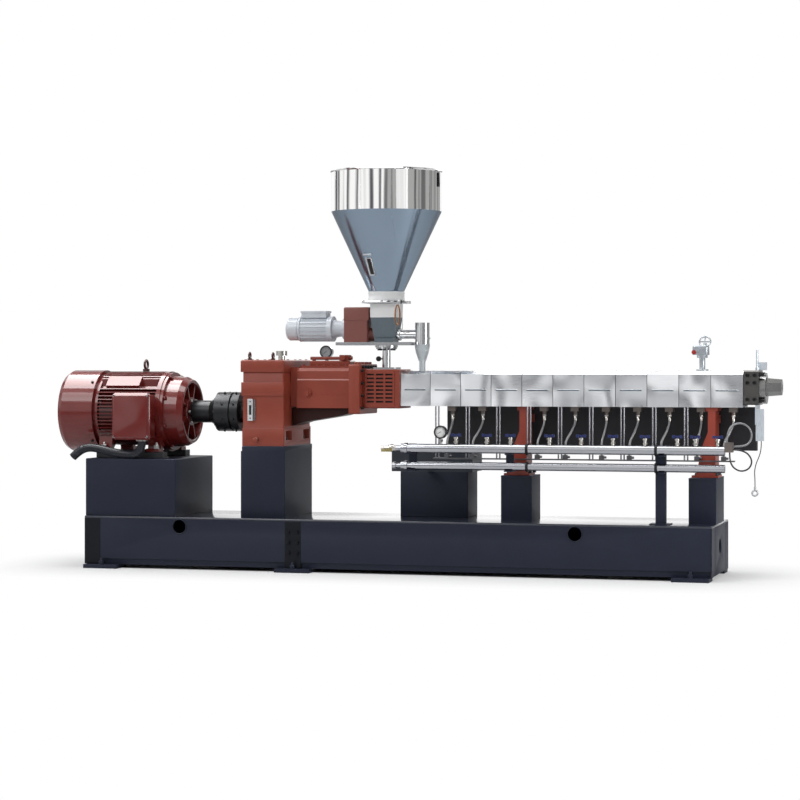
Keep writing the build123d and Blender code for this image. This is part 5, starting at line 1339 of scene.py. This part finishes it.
@dataclass
class FeederDressing(SubAssembly):
    """Feeder and hopper."""

    neck_radius: float = 0.138
    cone_height: float = 0.62
    sight_angle: float = math.radians(-17)
    sight_rise: float = 0.26
    latch_angle: float = math.radians(-6)
    latch_drop: float = 0.08
    gate_reach: float = 0.147
    gate_knobs: tuple[float, float] = (0.06, 0.115)
    air_tube: Profile = ((0.0035, 0.0), (0.0035, 0.220), (0.003, 0.2225))
    post_knob_place: Point = (-0.161, 0.0, 1.640)
    post_knob: Profile = ((0.005, 0.0), (0.005, 0.012), (0.012, 0.014), (0.019, 0.024), (0.0205, 0.033),
                          (0.018, 0.043), (0.011, 0.051), (0.004, 0.053))
    post_flange: float = 1.7185
    post_ring: float = 0.062
    sleeve: Profile = ((0.1385, 0.002), (0.1425, 0.002), (0.1425, 0.022), (0.1400, 0.026), (0.1400, 0.050),
                       (0.1425, 0.054), (0.1425, 0.070), (0.1385, 0.071))

    def build(self) -> None:
        """Sets the fittings of hopper, gate, post and sleeves."""
        self.dress_hopper()
        self.dress_gate()
        self.dress_post()
        self.wrap_necks()

    def dress_hopper(self) -> None:
        """Sets the sight slot with its bar on the cone and the latch at the rim."""
        cone, cylinder = Extent.of("hopper_cone"), Extent.of("hopper_cylinder")
        radius = cylinder.size.x / 2 - 0.008
        flare = radius - self.neck_radius
        outwards = Vector((math.sin(self.sight_angle), -math.cos(self.sight_angle), 0))
        slope = math.atan2(flare, self.cone_height)
        rise = cone.low.z + self.sight_rise
        reach = self.neck_radius + flare * (rise - (cone.high.z - self.cone_height)) / self.cone_height
        place = (Matrix.Translation(Vector((HOPPER_X, 0, rise)) + outwards * reach)
                 @ upright((outwards * math.cos(slope) - UP * math.sin(slope)).normalized()))
        frame = self.bench.panel("hopper_sight_frame", (-0.026, -0.075, -0.004), (0.026, 0.075, 0.006), UP,
                                 0.009, 0.004)
        self.bench.hand_over(frame, "machined_steel", place)
        glass = self.bench.panel("hopper_sight_glass", (-0.016, -0.064, 0.0), (0.016, 0.064, 0.0035), UP,
                                 0.003, 0.0005, 0.001)
        self.bench.hand_over(glass, "ink_black", place)
        bar = self.bench.block("hopper_sight_bar", (-0.038, 0.098, -0.004), (0.038, 0.110, 0.012))
        self.bench.hand_over(bar, "bare_plate", place)
        latch = self.bench.panel("hopper_latch", (-0.014, -0.055, 0.0), (0.014, 0.055, 0.010), UP,
                                 0.004, -0.002)
        outwards = Vector((math.cos(self.latch_angle), math.sin(self.latch_angle), 0))
        centre = Vector((HOPPER_X, 0, cylinder.high.z - self.latch_drop)) + outwards * (radius - 0.001)
        self.bench.hand_over(latch, "bolt_black", Matrix.Translation(centre) @ upright(outwards))

    def dress_gate(self) -> None:
        """Sets the gate's bolts, knobs, bronze slide block and air tube."""
        gate, reach = Extent.of("hopper_gate"), self.gate_reach
        top = gate.high.z - 0.010
        spots = [(HOPPER_X + dx, y, top) for dx, y in (*product((-reach, 0.0, reach), (-reach, reach)),
                                                       (-reach, 0), (reach, 0))]
        self.bench.fasten("gate_bolts", Fastener.HEX, seats(spots, UP, 0.016), "bolt_zinc")
        knobs = seats([(HOPPER_X + dx, gate.low.y - 0.001, top) for dx in self.gate_knobs], UP, 0.026)
        knobs.append(seat((gate.high.x - 0.002, gate.low.y + 0.02, top), TOWARDS_DIE, 0.03))
        self.bench.fasten("gate_knobs", Fastener.PAN, knobs, "ink_black")
        block = Vector((gate.high.x - 0.075, gate.low.y + 0.045, gate.high.z - 0.030))
        self.bench.recoat(self.bench.soften("hopper_gate", 0.001), "bronze",
                          lambda middle: middle.x > block.x and middle.y < block.y and middle.z < block.z)
        self.bench.hand_over(self.bench.turned("gate_air_tube", 12, self.air_tube), "white_sleeve",
                             seat((gate.high.x - 0.021, -0.020, gate.high.z - 0.243), UP))

    def dress_post(self) -> None:
        """Sets the clamping knob on the feeder's post and the black bolts under its flange."""
        self.bench.hand_over(self.bench.turned("post_knob", 24, self.post_knob), "ink_black",
                             seat(self.post_knob_place, TOWARDS_MOTOR))
        turns = [math.radians(30 + 60 * i) for i in range(6)]
        spots = [Vector((math.cos(turn), math.sin(turn), 0)) * self.post_ring
                 + Vector((HOPPER_X, 0, self.post_flange)) for turn in turns]
        self.bench.fasten("post_flange_bolts", Fastener.HEX, seats(spots, -UP, 0.020), "bolt_black")

    def wrap_necks(self) -> None:
        """Wraps the pale sleeves around the hopper's neck and the trough's neck."""
        trough = Extent.of("feeder_trough")
        neck = self.bench.turned("hopper_neck_sleeve", 56, self.sleeve, hollow=True)
        self.bench.hand_over(neck, "white_sleeve",
                             Matrix.Translation((HOPPER_X, 0, Extent.of("hopper_gate").high.z)))
        half = trough.size.x / 2 + 0.002
        centre = (trough.centre.x, 0.0)
        walls = []
        for side, axis in product(SIDES, (0, 1)):
            low = [centre[0] - half, centre[1] - half, trough.high.z - 0.110]
            high = [centre[0] + half, centre[1] + half, trough.high.z - 0.002]
            edge = centre[axis] + side * half
            low[axis], high[axis] = sorted((edge, edge - side * 0.0018))
            walls.append(self.bench.block("wall", low, high, 0.0006, 1))
        self.bench.hand_over(self.bench.join("trough_sleeve", walls), "white_sleeve")


@dataclass
class WaterDressing(SubAssembly):
    """Manifold, gauges, valves and tank."""

    dial_radius: float = 0.040
    water_gauge: tuple[float, float] = (0.410, 1.084)
    oil_gauge: Point = (-0.622, -0.005, 1.694)
    tick_count: int = 31
    ticks_each_long: int = 5
    long_tick: float = 1.6
    tick_share: float = 0.84
    dial_start: float = -135
    dial_sweep: float = 270
    needle_turn: float = -118
    needle_share: float = 0.72
    lid_screws: tuple[float, ...] = (0.03, 0.18, 0.33, 0.48)
    lever_front: float = -0.440
    clamp_places: tuple[float, float] = (1.078, 2.053)
    pipe_sizes: tuple[tuple[float, float], ...] = ((0.960, 0.035), (0.830, 0.030))
    pipe_line: float = -0.400
    hose_sections: tuple[int, ...] = (1, 2, 4, 5, 6, 7, 8, 9, 10)
    hose_share: float = 0.66
    hose_line: float = -0.058
    ferrule: Profile = ((0.0098, -0.045), (0.0125, -0.043), (0.0125, -0.014), (0.011, -0.012),
                        (0.011, -0.010))
    hose_nut: Profile = ((0.0145, -0.012), (0.0155, -0.010), (0.0155, -0.001), (0.0140, 0.0))

    def build(self) -> None:
        """Dresses both gauges, the tank, the valves, the hoses' ends and the pipes' joints."""
        x, z = self.water_gauge
        self.dress_gauge("water_gauge", Vector((x, Extent.of("dial_gauges").low.y, z)))
        self.dress_gauge("oil_gauge", Vector(self.oil_gauge))
        lid = Extent.of("tank_lid")
        spots = product([lid.low.x + dx for dx in (*self.lid_screws, lid.size.x - self.lid_screws[0])],
                        (lid.low.y + 0.02, lid.high.y - 0.02), (lid.low.z + 0.012,))
        self.bench.fasten("tank_lid_screws", Fastener.PAN, seats(spots, UP, 0.014), "bolt_zinc")
        self.bench.recoat(self.bench.soften("cooling_valves", 0.0004, 1), "yellow_brass",
                          lambda middle: middle.y < self.lever_front)
        self.ferrule_hoses()
        self.clamp_pipes()

    def dress_gauge(self, name: str, centre: Vector) -> None:
        """Sets a dial with its scale, needle and bezel.

        Args:
            name: First part of the pieces' names.
            centre: Middle of the case's front.
        """
        radius, case = self.dial_radius, Matrix.Translation(centre)
        face = self.bench.turned(f"{name}_dial", 48, (
            (radius, 0.0), (radius, 0.0035), (radius * 0.98, 0.004)))
        self.bench.hand_over(face, "dial_white", seat(centre + BACK * 0.0045, FRONT))
        places = []
        for i in range(self.tick_count):
            turn = math.radians(self.dial_start + self.dial_sweep * i / (self.tick_count - 1))
            spoke = Matrix.Rotation(turn, 4, "Y") @ Matrix.Translation((0, 0, radius * self.tick_share))
            size = 1.0 if i % self.ticks_each_long else self.long_tick
            places.append(case @ spoke @ towards(FRONT) @ Matrix.Scale(size, 4))
        tick = self.bench.block("tick", (-0.0005, -0.0035, 0.0), (0.0005, 0.0035, 0.0006), 0.0002, 1)
        self.bench.repeat(f"{name}_ticks", tick, places, "ink_black")
        needle = self.bench.block(f"{name}_needle", (-0.0012, -0.008, 0.0008),
                                  (0.0012, radius * self.needle_share, 0.0020), 0.0004, 1)
        turn = Matrix.Rotation(math.radians(self.needle_turn), 4, "Y")
        self.bench.hand_over(needle, "ink_black", case @ turn @ towards(FRONT))
        bezel = self.bench.turned(f"{name}_bezel", 48, (
            (radius + 0.009, -0.006), (radius + 0.0105, 0.001), (radius + 0.007, 0.005), (radius, 0.005),
            (radius - 0.001, -0.003)), hollow=True)
        self.bench.hand_over(bezel, "ink_black", seat(centre, FRONT))

    def ferrule_hoses(self) -> None:
        """Crimps a ferrule with a nut on the top end of each hose."""
        end = self.bench.join("hose_end", [self.bench.turned("ferrule", 18, self.ferrule),
                                           self.bench.turned("hose_nut", 6, self.hose_nut)])
        top = Extent.of("cooling_hoses").high.z - 0.001
        self.bench.repeat("hose_ferrules", end, [
            Matrix.Translation((FIRST_SECTION + (i + self.hose_share) * SECTION, self.hose_line, top))
            for i in self.hose_sections], "valve_metal")

    def clamp_pipes(self) -> None:
        """Sets the dark clamps over the pipes' joints."""
        clamps = []
        for x, (height, radius) in product(self.clamp_places, self.pipe_sizes):
            inner, outer = radius + 0.0052, radius + 0.0085
            clamps.append(self.bench.turned("clamp", 40, (
                (inner, -0.0095), (outer, -0.0095), (outer, 0.0095), (inner, 0.0095)), hollow=True))
            clamps[-1].data.transform(seat((x, self.pipe_line, height), TOWARDS_DIE))
        self.bench.hand_over(self.bench.join("pipe_clamps", clamps), "bolt_black")


def main() -> None:
    """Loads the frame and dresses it."""
    logging.basicConfig(level=logging.INFO, format="%(name)s: %(message)s")
    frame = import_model()
    Studio().set_up()
    shop = FinishShop()
    shop.coat_frame(frame)
    bench = Workbench(shop)
    for sub_assembly in (Cords, BaseDressing, MotorDressing, GearboxDressing, BarrelDressing, FeederDressing,
                         WaterDressing):
        sub_assembly(bench).build()
    bench.clear_patterns()


if __name__ == "__main__":
    main()
